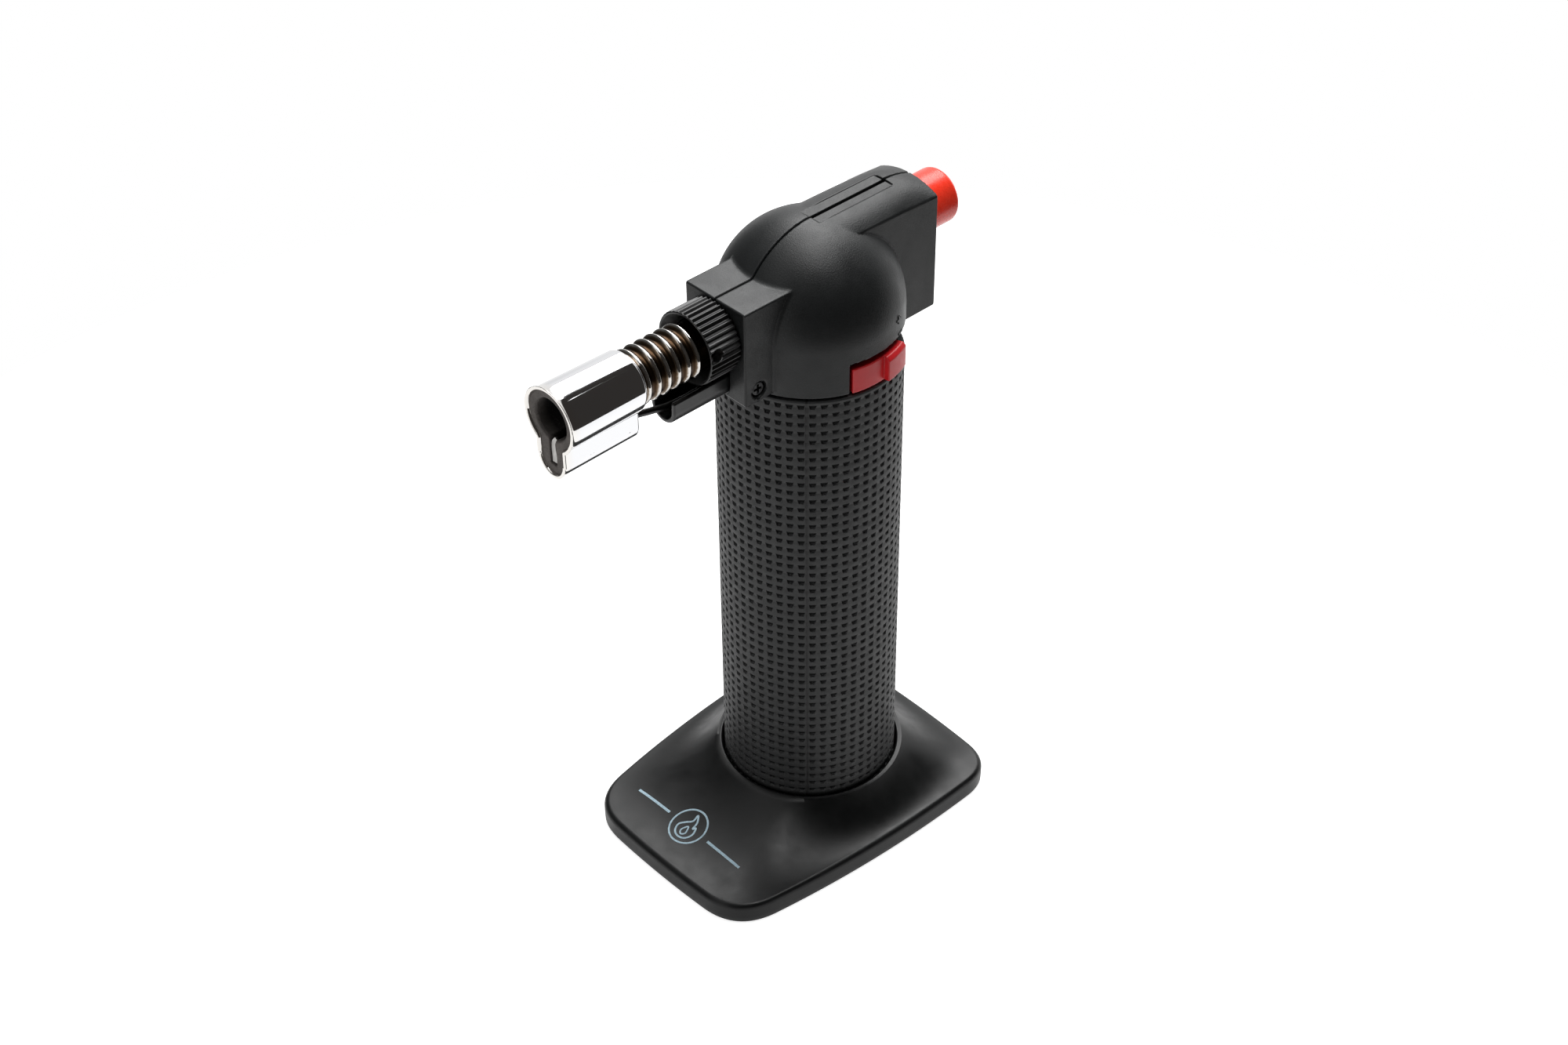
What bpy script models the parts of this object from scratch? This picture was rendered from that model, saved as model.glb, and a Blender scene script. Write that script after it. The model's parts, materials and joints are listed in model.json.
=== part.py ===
"""Handheld butane torch on a removable weighted foot.

Z is up, the nozzle points along -Y and the igniter button faces +Y. Lengths below are in
millimetres about the tank axis; place() turns them into metres and moves the tank axis to
AXIS_Y, which puts the middle of the whole torch over the origin.
"""

import math

import bmesh
import bpy
from mathutils import Matrix, Vector

MM = 0.001
AXIS_Y = 14.5
GAP = 0.3

# Tank, grip and foot
TANK_R = 17.4
TANK_WALL = 1.2
TANK_Z0, TANK_Z1 = 3.3, 114.0
GRIP_R = 19.0
GRIP_Z0, GRIP_Z1 = 4.0, 118.9
FOOT_FRONT, FOOT_REAR = 45.3, 31.0
FOOT_COLLAR_Z = 12.7
FOOT_RIM_Z = 5.0
FOOT_SOCKET_R = 19.5
FOOT_WALL = 1.8

# Head shells
SEAM = 0.15
HEAD_Z0 = 119.4
DOME_Z = 129.9
HEAD_R = 19.0
WALL = 1.8
BLOCK_X, BLOCK_Y, BLOCK_Z0, BLOCK_Z1 = 8.3, -24.5, 120.2, 141.4
HOUSING_X, HOUSING_Y, HOUSING_Z0 = 8.0, 27.3, 119.8
CROWN_Z, CREASE_Z = 148.8, 145.9

# Burner, on an axis along Y
BURNER_Z = 133.6
TUBE_R, RIB_R = 4.9, 5.75
RIBS, RIB_PITCH, RIB_FIRST = 6, 2.4, -33.4
COLLAR_R, COLLAR_Y0, COLLAR_Y1, COLLAR_RIBS = 7.7, -32.2, -24.8, 38
AIR_HOLE_Y, AIR_HOLE_ANGLE = -30.4, 10.0
SHEATH_Y0, SHEATH_Y1 = -65.1, -46.6
LOBE_Z, LOBE_R = 125.1, 3.65

# Igniter, rocker and valve
BUTTON_R, BUTTON_Z, BUTTON_Y0, BUTTON_Y1 = 5.9, 138.7, 24.6, 36.1
PUSH_ROD_X, PUSH_ROD_Z, PUSH_ROD_R = 4.4, 140.4, 0.9
ROCKER_Y, ROCKER_Z = -3.8, 129.0
LEVER_FROM, LEVER_STEP, LEVER_TO = -17.4, 6.2, 25.0
LEVER_TRAVEL = 35.0
SCREW_Y, SCREW_Z = -21.0, 122.9

ROUND, MEDIUM, SMALL = 48, 24, 14

PAINTS = {
    "shell_black": ((0.030, 0.032, 0.034), 0.55, 0.0),
    "foot_black": ((0.012, 0.012, 0.013), 0.42, 0.0),
    "grip_rubber": ((0.022, 0.023, 0.024), 0.62, 0.0),
    "collar_black": ((0.010, 0.010, 0.010), 0.35, 0.0),
    "button_red": ((0.80, 0.025, 0.020), 0.35, 0.0),
    "lever_red": ((0.55, 0.010, 0.012), 0.30, 0.0),
    "chrome": ((0.86, 0.86, 0.87), 0.06, 1.0),
    "nickel": ((0.72, 0.70, 0.66), 0.18, 1.0),
    "steel": ((0.60, 0.60, 0.61), 0.28, 1.0),
    "brass": ((0.78, 0.56, 0.24), 0.28, 1.0),
    "black_steel": ((0.05, 0.05, 0.05), 0.40, 1.0),
    "ceramic_grey": ((0.12, 0.105, 0.095), 0.80, 0.0),
    "ceramic_white": ((0.82, 0.80, 0.74), 0.55, 0.0),
    "tank_nylon": ((0.60, 0.58, 0.52), 0.50, 0.0),
    "seal_rubber": ((0.02, 0.02, 0.02), 0.75, 0.0),
    "hose_clear": ((0.55, 0.58, 0.56), 0.30, 0.0),
    "wick_felt": ((0.75, 0.72, 0.64), 0.95, 0.0),
    "igniter_grey": ((0.20, 0.21, 0.23), 0.45, 0.0),
    "lead_black": ((0.015, 0.015, 0.015), 0.45, 0.0),
}


# ---------------------------------------------------------------- building tools


def clear_scene():
    for obj in list(bpy.data.objects):
        bpy.data.objects.remove(obj, do_unlink=True)


def paint(name):
    material = bpy.data.materials.get(name)
    if material is None:
        colour, roughness, metallic = PAINTS[name]
        material = bpy.data.materials.new(name)
        material.use_nodes = True
        surface = material.node_tree.nodes["Principled BSDF"]
        surface.inputs["Base Color"].default_value = (*colour, 1.0)
        surface.inputs["Roughness"].default_value = roughness
        surface.inputs["Metallic"].default_value = metallic
        material.diffuse_color = (*colour, 1.0)
    return material


def make_object(name, bm, colour):
    """Closes the normals of bm and links it as an object, still in millimetres about the tank axis."""
    bmesh.ops.recalc_face_normals(bm, faces=bm.faces[:])
    mesh = bpy.data.meshes.new(name)
    bm.to_mesh(mesh)
    bm.free()
    obj = bpy.data.objects.new(name, mesh)
    bpy.context.scene.collection.objects.link(obj)
    if colour:
        mesh.materials.append(paint(colour))
    return obj


def loft(name, rings, colour=None, loop=False):
    """Skin over rings of equal length. A loop closes on its first ring, and other lofts get end caps."""
    bm = bmesh.new()
    rows = [[bm.verts.new(point) for point in ring] for ring in rings]
    pairs = list(zip(rows, rows[1:]))
    if loop:
        pairs.append((rows[-1], rows[0]))
    else:
        bm.faces.new(rows[0])
        bm.faces.new(rows[-1])
    count = len(rows[0])
    for lower, upper in pairs:
        for i in range(count):
            j = (i + 1) % count
            bm.faces.new((lower[i], lower[j], upper[j], upper[i]))
    return make_object(name, bm, colour)


def circle(radius, height, count, turn=0.0):
    """A ring about Z."""
    steps = (2 * math.pi * (i + turn) / count for i in range(count))
    return [(radius * math.cos(t), radius * math.sin(t), height) for t in steps]


def lathe(name, profile, colour=None, count=MEDIUM, loop=False):
    """Turns (radius, height) pairs about the tank axis."""
    return loft(name, [circle(r, z, count) for r, z in profile], colour, loop)


def lathe_y(name, profile, axis_z, colour=None, count=MEDIUM, loop=False):
    """Turns (radius, y) pairs about a line along Y at height axis_z."""
    rings = []
    for radius, y in profile:
        flat = circle(radius, 0, count, 0.5)
        rings.append([(x, y, axis_z + z) for x, z, _ in flat])
    return loft(name, rings, colour, loop)


def rod_x(name, profile, y, z, colour=None, count=SMALL):
    """Turns (radius, x) pairs about a line along X."""
    rings = [[(x, y + a, z + b) for a, b, _ in circle(r, 0, count, 0.5)] for r, x in profile]
    return loft(name, rings, colour)


def block(name, low, high, colour=None):
    bm = bmesh.new()
    size = [b - a for a, b in zip(low, high)]
    middle = [(a + b) / 2 for a, b in zip(low, high)]
    bmesh.ops.create_cube(bm, size=1.0, matrix=Matrix.Translation(middle) @ Matrix.Diagonal((*size, 1)))
    return make_object(name, bm, colour)


def sector(name, r0, r1, z0, z1, start, end, colour=None, steps=12, top_cut=0.0):
    """A slice of a ring between two angles in degrees, with top_cut taken off its outer top edge."""
    rings = []
    for i in range(steps + 1):
        t = math.radians(start + (end - start) * i / steps)
        section = [(r0, z0), (r1, z0), (r1, z1 - top_cut), (r1 - top_cut, z1), (r0, z1)]
        if not top_cut:
            section.pop(3)
        rings.append([(r * math.cos(t), r * math.sin(t), z) for r, z in section])
    return loft(name, rings, colour)


def swept(name, path, radius, colour, sides=10, bore=0.0):
    """A round wire along path or, with a bore, an open hose."""
    points = [Vector(p) for p in path]
    last = len(points) - 1
    tangents = [(points[min(i + 1, last)] - points[max(i - 1, 0)]).normalized() for i in range(last + 1)]
    side = tangents[0].orthogonal().normalized()
    frames = []
    for tangent in tangents:
        side = (side - tangent * side.dot(tangent)).normalized()
        frames.append((side, tangent.cross(side)))

    def rings_at(r):
        for point, (u, v) in zip(points, frames):
            steps = (2 * math.pi * i / sides for i in range(sides))
            yield [point + u * (r * math.cos(t)) + v * (r * math.sin(t)) for t in steps]

    rings = list(rings_at(radius))
    if bore:
        rings += list(rings_at(bore))[::-1]
    return loft(name, rings, colour, loop=bool(bore))


def smooth_path(knots, per_span=6):
    """A Catmull-Rom line through the knots."""
    knots = [Vector(k) for k in knots]
    ends = [2 * knots[0] - knots[1], *knots, 2 * knots[-1] - knots[-2]]
    path = []
    for a, b, c, d in zip(ends, ends[1:], ends[2:], ends[3:]):
        for i in range(per_span):
            t = i / per_span
            path.append(
                0.5 * (2 * b + (c - a) * t + (2 * a - 5 * b + 4 * c - d) * t**2 + (3 * b - a - 3 * c + d) * t**3)
            )
    return [*path, knots[-1]]


def coil(name, centre, axis, length, radius, wire, turns, colour="steel"):
    """A round-wire compression spring that starts at centre and runs along axis."""
    axis = Vector(axis)
    u = axis.orthogonal().normalized()
    v = axis.cross(u)
    steps = turns * 9
    path = []
    for i in range(steps + 1):
        t = 2 * math.pi * i / 9
        along = wire + (length - 2 * wire) * i / steps
        path.append(Vector(centre) + axis * along + u * (radius * math.cos(t)) + v * (radius * math.sin(t)))
    return swept(name, path, wire, colour, sides=4)


def bake(obj):
    """Replaces an object's mesh by what its modifiers make of it."""
    graph = bpy.context.evaluated_depsgraph_get()
    mesh = bpy.data.meshes.new_from_object(obj.evaluated_get(graph))
    obj.modifiers.clear()
    obj.data = mesh


def combine(target, others, operation):
    """Exact Boolean of target with each helper in turn. The helpers are used up."""
    for other in others:
        change = target.modifiers.new("combine", "BOOLEAN")
        change.operation = operation
        change.solver = "EXACT"
        change.object = other
        bake(target)
        bpy.data.objects.remove(other, do_unlink=True)
    return target


def join(target, *others):
    return combine(target, others, "UNION")


def cut(target, *others):
    return combine(target, others, "DIFFERENCE")


def twin(source, name):
    """A second object with its own copy of the mesh."""
    other = bpy.data.objects.new(name, source.data.copy())
    bpy.context.scene.collection.objects.link(other)
    return other


# ---------------------------------------------------------------- foot, tank and grip


def foot_outline(count):
    """The foot from above: four bulging sides with rounded corners, as points about the tank axis."""
    corners = [Vector((24.0, -44.2)), Vector((29.4, 29.4)), Vector((-29.4, 29.4)), Vector((-24.0, -44.2))]
    bulge = (2.5, FOOT_REAR - 29.4, 2.5, FOOT_FRONT - 44.2)
    rounding = (9.5, 8.0, 8.0, 9.5)

    def side_point(i, t):
        a, b = corners[i], corners[(i + 1) % 4]
        along = b - a
        outward = Vector((along.y, -along.x)).normalized()
        return a + along * t + outward * (bulge[i] * 4 * t * (1 - t))

    outline = []
    for i in range(4):
        a, b = corners[i], corners[(i + 1) % 4]
        length = (b - a).length
        start, end = rounding[i] / length, 1 - rounding[(i + 1) % 4] / length
        outline += [side_point(i, start + (end - start) * k / 24) for k in range(25)]
        next_start = rounding[(i + 1) % 4] / (corners[(i + 2) % 4] - b).length
        p0, p1, p2 = side_point(i, end), side_point(i, 1.0), side_point((i + 1) % 4, next_start)
        for k in range(1, 12):
            t = k / 12
            outline.append(p0 * (1 - t) ** 2 + p1 * (2 * t * (1 - t)) + p2 * t**2)
    return even_spacing(outline, count)


def even_spacing(outline, count):
    """Walks a closed outline and returns count points at equal steps."""
    lengths = [(b - a).length for a, b in zip(outline, outline[1:] + outline[:1])]
    step = sum(lengths) / count
    points, walked, i = [], 0.0, 0
    for k in range(count):
        while walked + lengths[i] < k * step:
            walked += lengths[i]
            i += 1
        t = (k * step - walked) / lengths[i]
        points.append(outline[i].lerp(outline[(i + 1) % len(outline)], t))
    return points


def foot_height(t):
    """Height of the foot's upper face, from the collar at t = 0 to the rim at t = 1."""
    return FOOT_RIM_Z + (FOOT_COLLAR_Z - 0.1 - FOOT_RIM_Z) * (0.75 * (1 - t) ** 2.2 + 0.25 * (1 - t))


def build_foot():
    outline = foot_outline(52)

    def collar(radius, z):
        return [(p.x / p.length * radius, p.y / p.length * radius, z) for p in outline]

    def rim(inset, z):
        return [(p.x * (1 - inset / p.length), p.y * (1 - inset / p.length), z) for p in outline]

    def face(t, drop, inset):
        ring = []
        for p in outline:
            r = 20.7 + (p.length - inset - 20.7) * t
            ring.append((p.x / p.length * r, p.y / p.length * r, foot_height(t) - drop))
        return ring

    socket_outer = FOOT_SOCKET_R + FOOT_WALL
    rings = [
        collar(12.0, 1.0),
        collar(12.0, 3.0),
        collar(FOOT_SOCKET_R, 3.0),
        collar(FOOT_SOCKET_R, FOOT_COLLAR_Z - 0.3),
        collar(FOOT_SOCKET_R + 0.4, FOOT_COLLAR_Z + 0.1),
    ]
    rings += [face(t, 0.0, 1.3) for t in (0.0, 0.12, 0.28, 0.5, 0.75, 1.0)]
    rings += [rim(0.5, 4.75), rim(0.0, 4.1), rim(0.0, 0.5), rim(0.4, 0.0), rim(3.0, 0.0), rim(3.3, 3.0)]
    rings += [face(t, FOOT_WALL, 3.0) for t in (0.7, 0.25)]
    rings += [collar(socket_outer, FOOT_COLLAR_Z - 2.4), collar(socket_outer, 1.0)]
    return loft("foot_stand", rings, "foot_black", loop=True)


def build_tank():
    inner = TANK_R - TANK_WALL
    profile = [
        (6.4, 3.3), (16.8, 3.3), (TANK_R, 3.9), (TANK_R, TANK_Z1), (inner, TANK_Z1),
        (inner, 6.3), (4.4, 6.3), (4.4, 4.8), (6.4, 4.8),
    ]
    lathe("fuel_tank", profile, "tank_nylon", ROUND, loop=True)

    bore = TANK_R + GAP
    profile = [
        (bore, GRIP_Z0), (GRIP_R - 0.4, GRIP_Z0), (GRIP_R, GRIP_Z0 + 0.4),
        (GRIP_R, GRIP_Z1 - 0.4), (GRIP_R - 0.4, GRIP_Z1), (bore, GRIP_Z1),
    ]
    lathe("grip_sleeve", profile, "grip_rubber", ROUND, loop=True)

    profile = [
        (4.3, 111.3), (6.5, 111.3), (6.5, 116.4), (13.2, 116.4), (13.2, 111.3), (15.9, 111.3),
        (15.9, 112.0), (14.7, 112.0), (14.7, 113.6), (15.9, 113.6), (15.9, 114.3), (TANK_R, 114.3),
        (TANK_R, 116.3), (14.0, 116.3), (14.0, 120.5), (15.9, 120.5), (15.9, 121.3), (9.7, 121.3),
        (9.7, 119.0), (4.3, 119.0),
    ]
    lathe("tank_lid", profile, "tank_nylon", 32, loop=True)

    profile = [(14.85, 112.8), (15.3, 112.3), (15.75, 112.8), (15.3, 113.3)]
    lathe("lid_seal_ring", profile, "seal_rubber", 32, loop=True)
    lathe("fuel_wick", [(1.4, 24.0), (1.4, 102.7)], "wick_felt", 12)


def build_filler():
    profile = [
        (1.8, 3.6), (6.1, 3.6), (6.1, 4.5), (4.1, 4.5), (4.1, 15.0),
        (1.0, 15.0), (1.0, 13.5), (2.9, 13.5), (2.9, 6.0), (1.8, 6.0),
    ]
    lathe("filler_body", profile, "brass", 18, loop=True)
    profile = [(1.4, 4.6), (1.4, 7.3), (2.5, 7.3), (2.5, 8.2), (0.75, 8.2), (0.75, 12.8)]
    lathe("filler_stem", profile, "steel", SMALL)
    profile = [(1.65, 6.3), (2.6, 6.3), (2.6, 7.0), (1.65, 7.0)]
    lathe("filler_seal", profile, "seal_rubber", SMALL, loop=True)
    coil("filler_spring", (0, 0, 8.4), (0, 0, 1), 4.9, 1.75, 0.25, 4)


# ---------------------------------------------------------------- valve, lever and rocker


def build_valve():
    profile = [
        (0.9, 103.0), (4.0, 103.0), (4.0, 109.5), (5.6, 109.5), (5.6, 111.0), (4.0, 111.0),
        (4.0, 122.4), (2.4, 122.4), (2.4, 106.0), (0.9, 106.0),
    ]
    lathe("valve_body", profile, "brass", 18, loop=True)
    profile = [(0.9, 129.4), (0.9, 109.2), (2.1, 109.2), (2.1, 107.6)]
    lathe("valve_stem", [(1.9, 130.6), (1.9, 129.4), *profile], "steel", SMALL)
    lathe("valve_seal", [(2.1, 106.3), (2.1, 107.3)], "seal_rubber", SMALL)
    coil("valve_spring", (0, 0, 109.4), (0, 0, 1), 11.7, 1.65, 0.28, 7)

    cap = lathe(
        "valve_cap",
        [(1.15, 121.3), (2.2, 121.3), (2.2, 122.7), (3.4, 122.7), (3.4, 127.2), (1.15, 127.2)],
        "brass", 18, loop=True,
    )
    for side in (-1, 1):
        low, high = sorted((side * 2.3, side * 4.4))
        join(cap, block("lug", (low, ROCKER_Y - 1.6, 123.2), (high, ROCKER_Y + 1.6, 126.4)))
        low, high = sorted((side * 3.2, side * 4.4))
        join(cap, block("ear", (low, ROCKER_Y - 1.6, 125.8), (high, ROCKER_Y + 1.6, ROCKER_Z + 1.7)))
    join(cap, lathe_y("spigot", [(1.2, -2.9), (1.2, -7.0)], 125.0, count=12))
    cut(cap, lathe_y("spigot_bore", [(0.5, -0.6), (0.5, -7.5)], 125.0, count=8))
    cut(cap, rod_x("pin_bore", [(0.82, -6.0), (0.82, 6.0)], ROCKER_Y, ROCKER_Z))
    rod_x("rocker_pin", [(0.75, -4.9), (0.75, 4.9)], ROCKER_Y, ROCKER_Z, "steel")

    lathe("flow_adjuster", [(4.3, 119.3), (6.2, 119.3), (6.2, 122.4), (4.3, 122.4)], "brass", 18, loop=True)


def build_lever():
    lever = lathe("gas_lever", [(6.5, 120.9), (9.3, 120.9), (9.3, 122.9), (6.5, 122.9)], "lever_red", 24, loop=True)
    join(
        lever,
        sector("arm", 8.4, 18.6, 121.7, 122.9, -6, 14, steps=4),
        sector("pad_low", 17.3, 19.0, HEAD_Z0, 124.9, LEVER_FROM, LEVER_STEP + 1.0, steps=8),
        sector("pad_high", 17.3, 20.4, HEAD_Z0, 124.9, LEVER_STEP, LEVER_TO, steps=6, top_cut=0.7),
    )


def build_rocker():
    rocker = rod_x("gas_rocker", [(1.5, -2.9), (1.5, 2.9)], ROCKER_Y, ROCKER_Z, "black_steel")
    join(
        rocker,
        block("arm", (-1.4, -4.6, 129.6), (1.4, -3.0, 142.0)),
        block("crossbar", (-5.2, -4.6, 139.0), (5.2, -3.0, 142.2)),
        block("fork", (-2.6, -4.0, 128.4), (2.6, 0.5, 129.1)),
    )
    cut(
        rocker,
        block("slot", (-1.2, -1.9, 127.0), (1.2, 2.0, 131.0)),
        rod_x("pin_bore", [(0.82, -6.0), (0.82, 6.0)], ROCKER_Y, ROCKER_Z),
    )


# ---------------------------------------------------------------- burner and nozzle


def keyhole(radius, lobe_radius, y):
    """The nozzle's section: a circle with a round-ended lobe hanging below it."""
    meet = math.acos(lobe_radius / radius)
    outline = []
    for i in range(29):
        t = -meet + (math.pi + 2 * meet) * i / 28
        outline.append((radius * math.cos(t), y, BURNER_Z + radius * math.sin(t)))
    for i in range(13):
        t = math.pi + math.pi * i / 12
        outline.append((lobe_radius * math.cos(t), y, LOBE_Z + lobe_radius * math.sin(t)))
    return outline


def build_burner():
    holder_profile = [
        (3.3, -10.0), (3.3, -26.5), (1.65, -26.5), (1.65, -21.0), (0.9, -21.0), (0.9, -12.0),
    ]
    holder = lathe_y("jet_holder", holder_profile, BURNER_Z, "brass", 24)
    join(holder, lathe_at("spigot", 0, -13.0, [(1.15, 128.8), (1.15, 131.5)]))
    cut(holder, lathe_at("spigot_bore", 0, -13.0, [(0.55, 127.0), (0.55, BURNER_Z)]))

    profile = [(0.45, -22.0), (1.35, -22.0), (1.35, -26.8), (2.6, -26.8), (2.6, -28.6), (0.45, -28.6)]
    lathe_y("gas_jet", profile, BURNER_Z, "brass", SMALL, loop=True)

    outer = [(3.65, -20.3), (TUBE_R, -20.3)]
    for i in range(RIBS):
        y = RIB_FIRST - RIB_PITCH * i
        outer += [(TUBE_R, y + 0.85), (RIB_R, y + 0.35), (RIB_R, y - 0.35), (TUBE_R, y - 0.85)]
    outer += [(TUBE_R, -49.5), (4.1, -49.5), (4.1, -30.0), (3.65, -29.0)]
    tube = lathe_y("burner_tube", outer, BURNER_Z, "nickel", 24, loop=True)
    cut(tube, air_hole_cutter(1.3, 6.5))

    collar = ribbed_collar()
    cut(collar, air_hole_cutter(1.3, 9.0))


def lathe_at(name, x, y, profile, count=12):
    """Turns (radius, height) pairs about a vertical line through x, y."""
    rings = [[(x + a, y + b, z) for a, b, z in circle(r, z, count)] for r, z in profile]
    return loft(name, rings)


def air_hole_cutter(radius, reach):
    """A pin right across the burner at the angle of its two air holes."""
    bm = bmesh.new()
    turn = Matrix.Rotation(math.radians(90 - AIR_HOLE_ANGLE), 4, "Y")
    bmesh.ops.create_cone(
        bm, cap_ends=True, segments=12, radius1=radius, radius2=radius, depth=2 * reach,
        matrix=Matrix.Translation((0, AIR_HOLE_Y, BURNER_Z)) @ turn,
    )
    return make_object("air_hole", bm, None)


def ribbed_collar():
    """The air collar: a ring with lengthwise ribs, a chamfered nose and a dished front."""
    count = COLLAR_RIBS * 2

    def ring(radius, y, rib):
        points = []
        for i in range(count):
            t = 2 * math.pi * i / count
            r = radius - rib * (i % 2)
            points.append((r * math.cos(t), y, BURNER_Z + r * math.sin(t)))
        return points

    rings = [
        ring(5.2, COLLAR_Y1, 0), ring(COLLAR_R, COLLAR_Y1, 0), ring(COLLAR_R, COLLAR_Y1 - 0.5, 0.4),
        ring(COLLAR_R, COLLAR_Y0 + 1.3, 0.4), ring(COLLAR_R - 0.8, COLLAR_Y0, 0), ring(6.3, COLLAR_Y0, 0),
        ring(5.2, COLLAR_Y0 + 1.0, 0),
    ]
    return loft("air_collar", rings, "collar_black", loop=True)


def build_nozzle():
    sheath = loft(
        "nozzle_sheath",
        [
            keyhole(7.05, LOBE_R + 0.25, SHEATH_Y0),
            keyhole(6.75, LOBE_R, SHEATH_Y0 + 0.7),
            keyhole(6.35, LOBE_R - 0.1, SHEATH_Y1 - 1.6),
            keyhole(6.15, LOBE_R - 0.3, SHEATH_Y1 - 0.5),
            keyhole(5.75, LOBE_R - 0.9, SHEATH_Y1),
        ],
        "chrome",
    )
    cut(
        sheath,
        loft("hollow", [keyhole(6.25, 3.15, SHEATH_Y0 - 1.0), keyhole(5.85, 3.0, SHEATH_Y1 - 0.6)]),
        lathe_y("neck", [(5.2, SHEATH_Y1 - 3.0), (5.2, SHEATH_Y1 + 1.0)], BURNER_Z, count=28),
        lathe_y("lead_hole", [(1.0, SHEATH_Y1 - 3.0), (1.0, SHEATH_Y1 + 1.0)], LOBE_Z - 0.3, count=12),
    )
    insert = loft("nozzle_insert", [keyhole(5.85, 2.75, -64.6), keyhole(5.6, 2.65, -51.0)], "ceramic_grey")
    cut(
        insert,
        lathe_y("bore", [(4.4, -66.0), (4.4, -50.0)], BURNER_Z, count=28),
        block("slot", (-0.95, -66.0, 123.4), (0.95, -60.0, 130.5)),
        lathe_y("insulator_bore", [(1.65, -61.0), (1.65, -50.0)], LOBE_Z - 0.3, count=12),
    )
    profile = [(0.65, -59.8), (1.35, -59.8), (1.35, -48.3), (0.65, -48.3)]
    lathe_y("electrode_insulator", profile, LOBE_Z - 0.3, "ceramic_white", 12, loop=True)
    electrode = lathe_y("spark_electrode", [(0.5, -63.9), (0.5, -48.0)], LOBE_Z - 0.3, "steel", 10)
    join(electrode, block("strip", (-0.6, -64.3, 123.7), (0.6, -63.7, 129.9)))


def trough_section(y, outer, inner, top):
    """A U with a round bottom, as one closed outline."""
    centre_z = 123.1
    outside = [(-outer, y, top)]
    inside = [(-inner, y, top)]
    for i in range(11):
        t = math.pi + math.pi * i / 10
        outside.append((outer * math.cos(t), y, centre_z + outer * math.sin(t)))
        inside.append((inner * math.cos(t), y, centre_z + inner * math.sin(t)))
    outside.append((outer, y, top))
    inside.append((inner, y, top))
    return outside + inside[::-1]


def build_leads():
    loft(
        "wire_trough",
        [trough_section(y, 3.4, 2.5, 125.4) for y in (-38.2, -22.9)],
        "collar_black",
    )
    path = smooth_path(
        [
            (0, 8.5, 138.2), (2.2, 6.0, 135.6), (5.6, 1.5, 131.5), (6.4, -6.0, 128.2), (4.6, -13.5, 127.6),
            (1.4, -18.0, 127.2), (0, -21.0, 126.4), (0, -23.2, 125.3), (0, -25.0, 124.1), (0, -28.5, 122.8),
            (0, -36.0, 122.7), (0, -41.0, 123.7), (0, -45.0, 124.7), (0, -47.6, LOBE_Z - 0.3),
        ],
        per_span=3,
    )
    swept("ignition_lead", path, 0.7, "lead_black", sides=7)
    path = smooth_path(
        [(-2.2, 8.5, 136.0), (-3.9, 5.0, 134.4), (-4.6, -1.0, 133.4), (-4.6, -7.0, 133.2), (-4.15, -12.0, BURNER_Z)],
        per_span=4,
    )
    swept("ground_lead", path, 0.45, "steel", sides=6)

    arc = [(0, -9.0 - 4.0 * math.sin(t), 129.0 - 4.0 * math.cos(t)) for t in [math.pi * i / 16 for i in range(9)]]
    swept("gas_hose", [(0, -3.9, 125.0), *arc, (0, -13.0, 129.95)], 1.9, "hose_clear", sides=10, bore=1.4)


# ---------------------------------------------------------------- igniter


def build_igniter():
    rim = BUTTON_R
    button = lathe_y(
        "igniter_button",
        [
            (4.9, 33.9), (4.9, BUTTON_Y0), (rim, BUTTON_Y0), (rim, BUTTON_Y1 - 1.2),
            (rim - 0.35, BUTTON_Y1 - 0.35), (rim - 1.2, BUTTON_Y1),
        ],
        BUTTON_Z, "button_red", 32,
    )
    for side in (-1, 1):
        profile = [(0.35, -2.7), (0.72, -2.4), (PUSH_ROD_R, -1.8), (PUSH_ROD_R, 27.0)]
        rod = lathe_y("push_rod", profile, PUSH_ROD_Z, count=8)
        rod.data.transform(Matrix.Translation((side * PUSH_ROD_X, 0, 0)))
        join(button, rod)

    case = block("igniter_case", (-3.0, 9.0, BUTTON_Z - 3.5), (3.0, 23.5, BUTTON_Z + 3.5), "igniter_grey")
    cut(case, block("hollow", (-2.6, 11.0, BUTTON_Z - 3.0), (2.6, 25.0, BUTTON_Z + 3.0)))
    block("igniter_plunger", (-2.3, 17.5, BUTTON_Z - 2.7), (2.3, 33.6, BUTTON_Z + 2.7), "ceramic_white")
    coil("igniter_spring", (0, 11.2, BUTTON_Z), (0, 1, 0), 6.1, 1.9, 0.3, 4)


# ---------------------------------------------------------------- head shells


def housing_section(y, half, bottom, crown, crease):
    """The rear housing's section: flat sides under a barrel top."""
    rise = crown - crease
    radius = (half**2 + rise**2) / (2 * rise)
    reach = math.asin(half / radius)
    section = [(-half, y, bottom), (half, y, bottom)]
    for i in range(11):
        t = reach - 2 * reach * i / 10
        section.append((radius * math.sin(t), y, crown - radius + radius * math.cos(t)))
    return section


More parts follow.
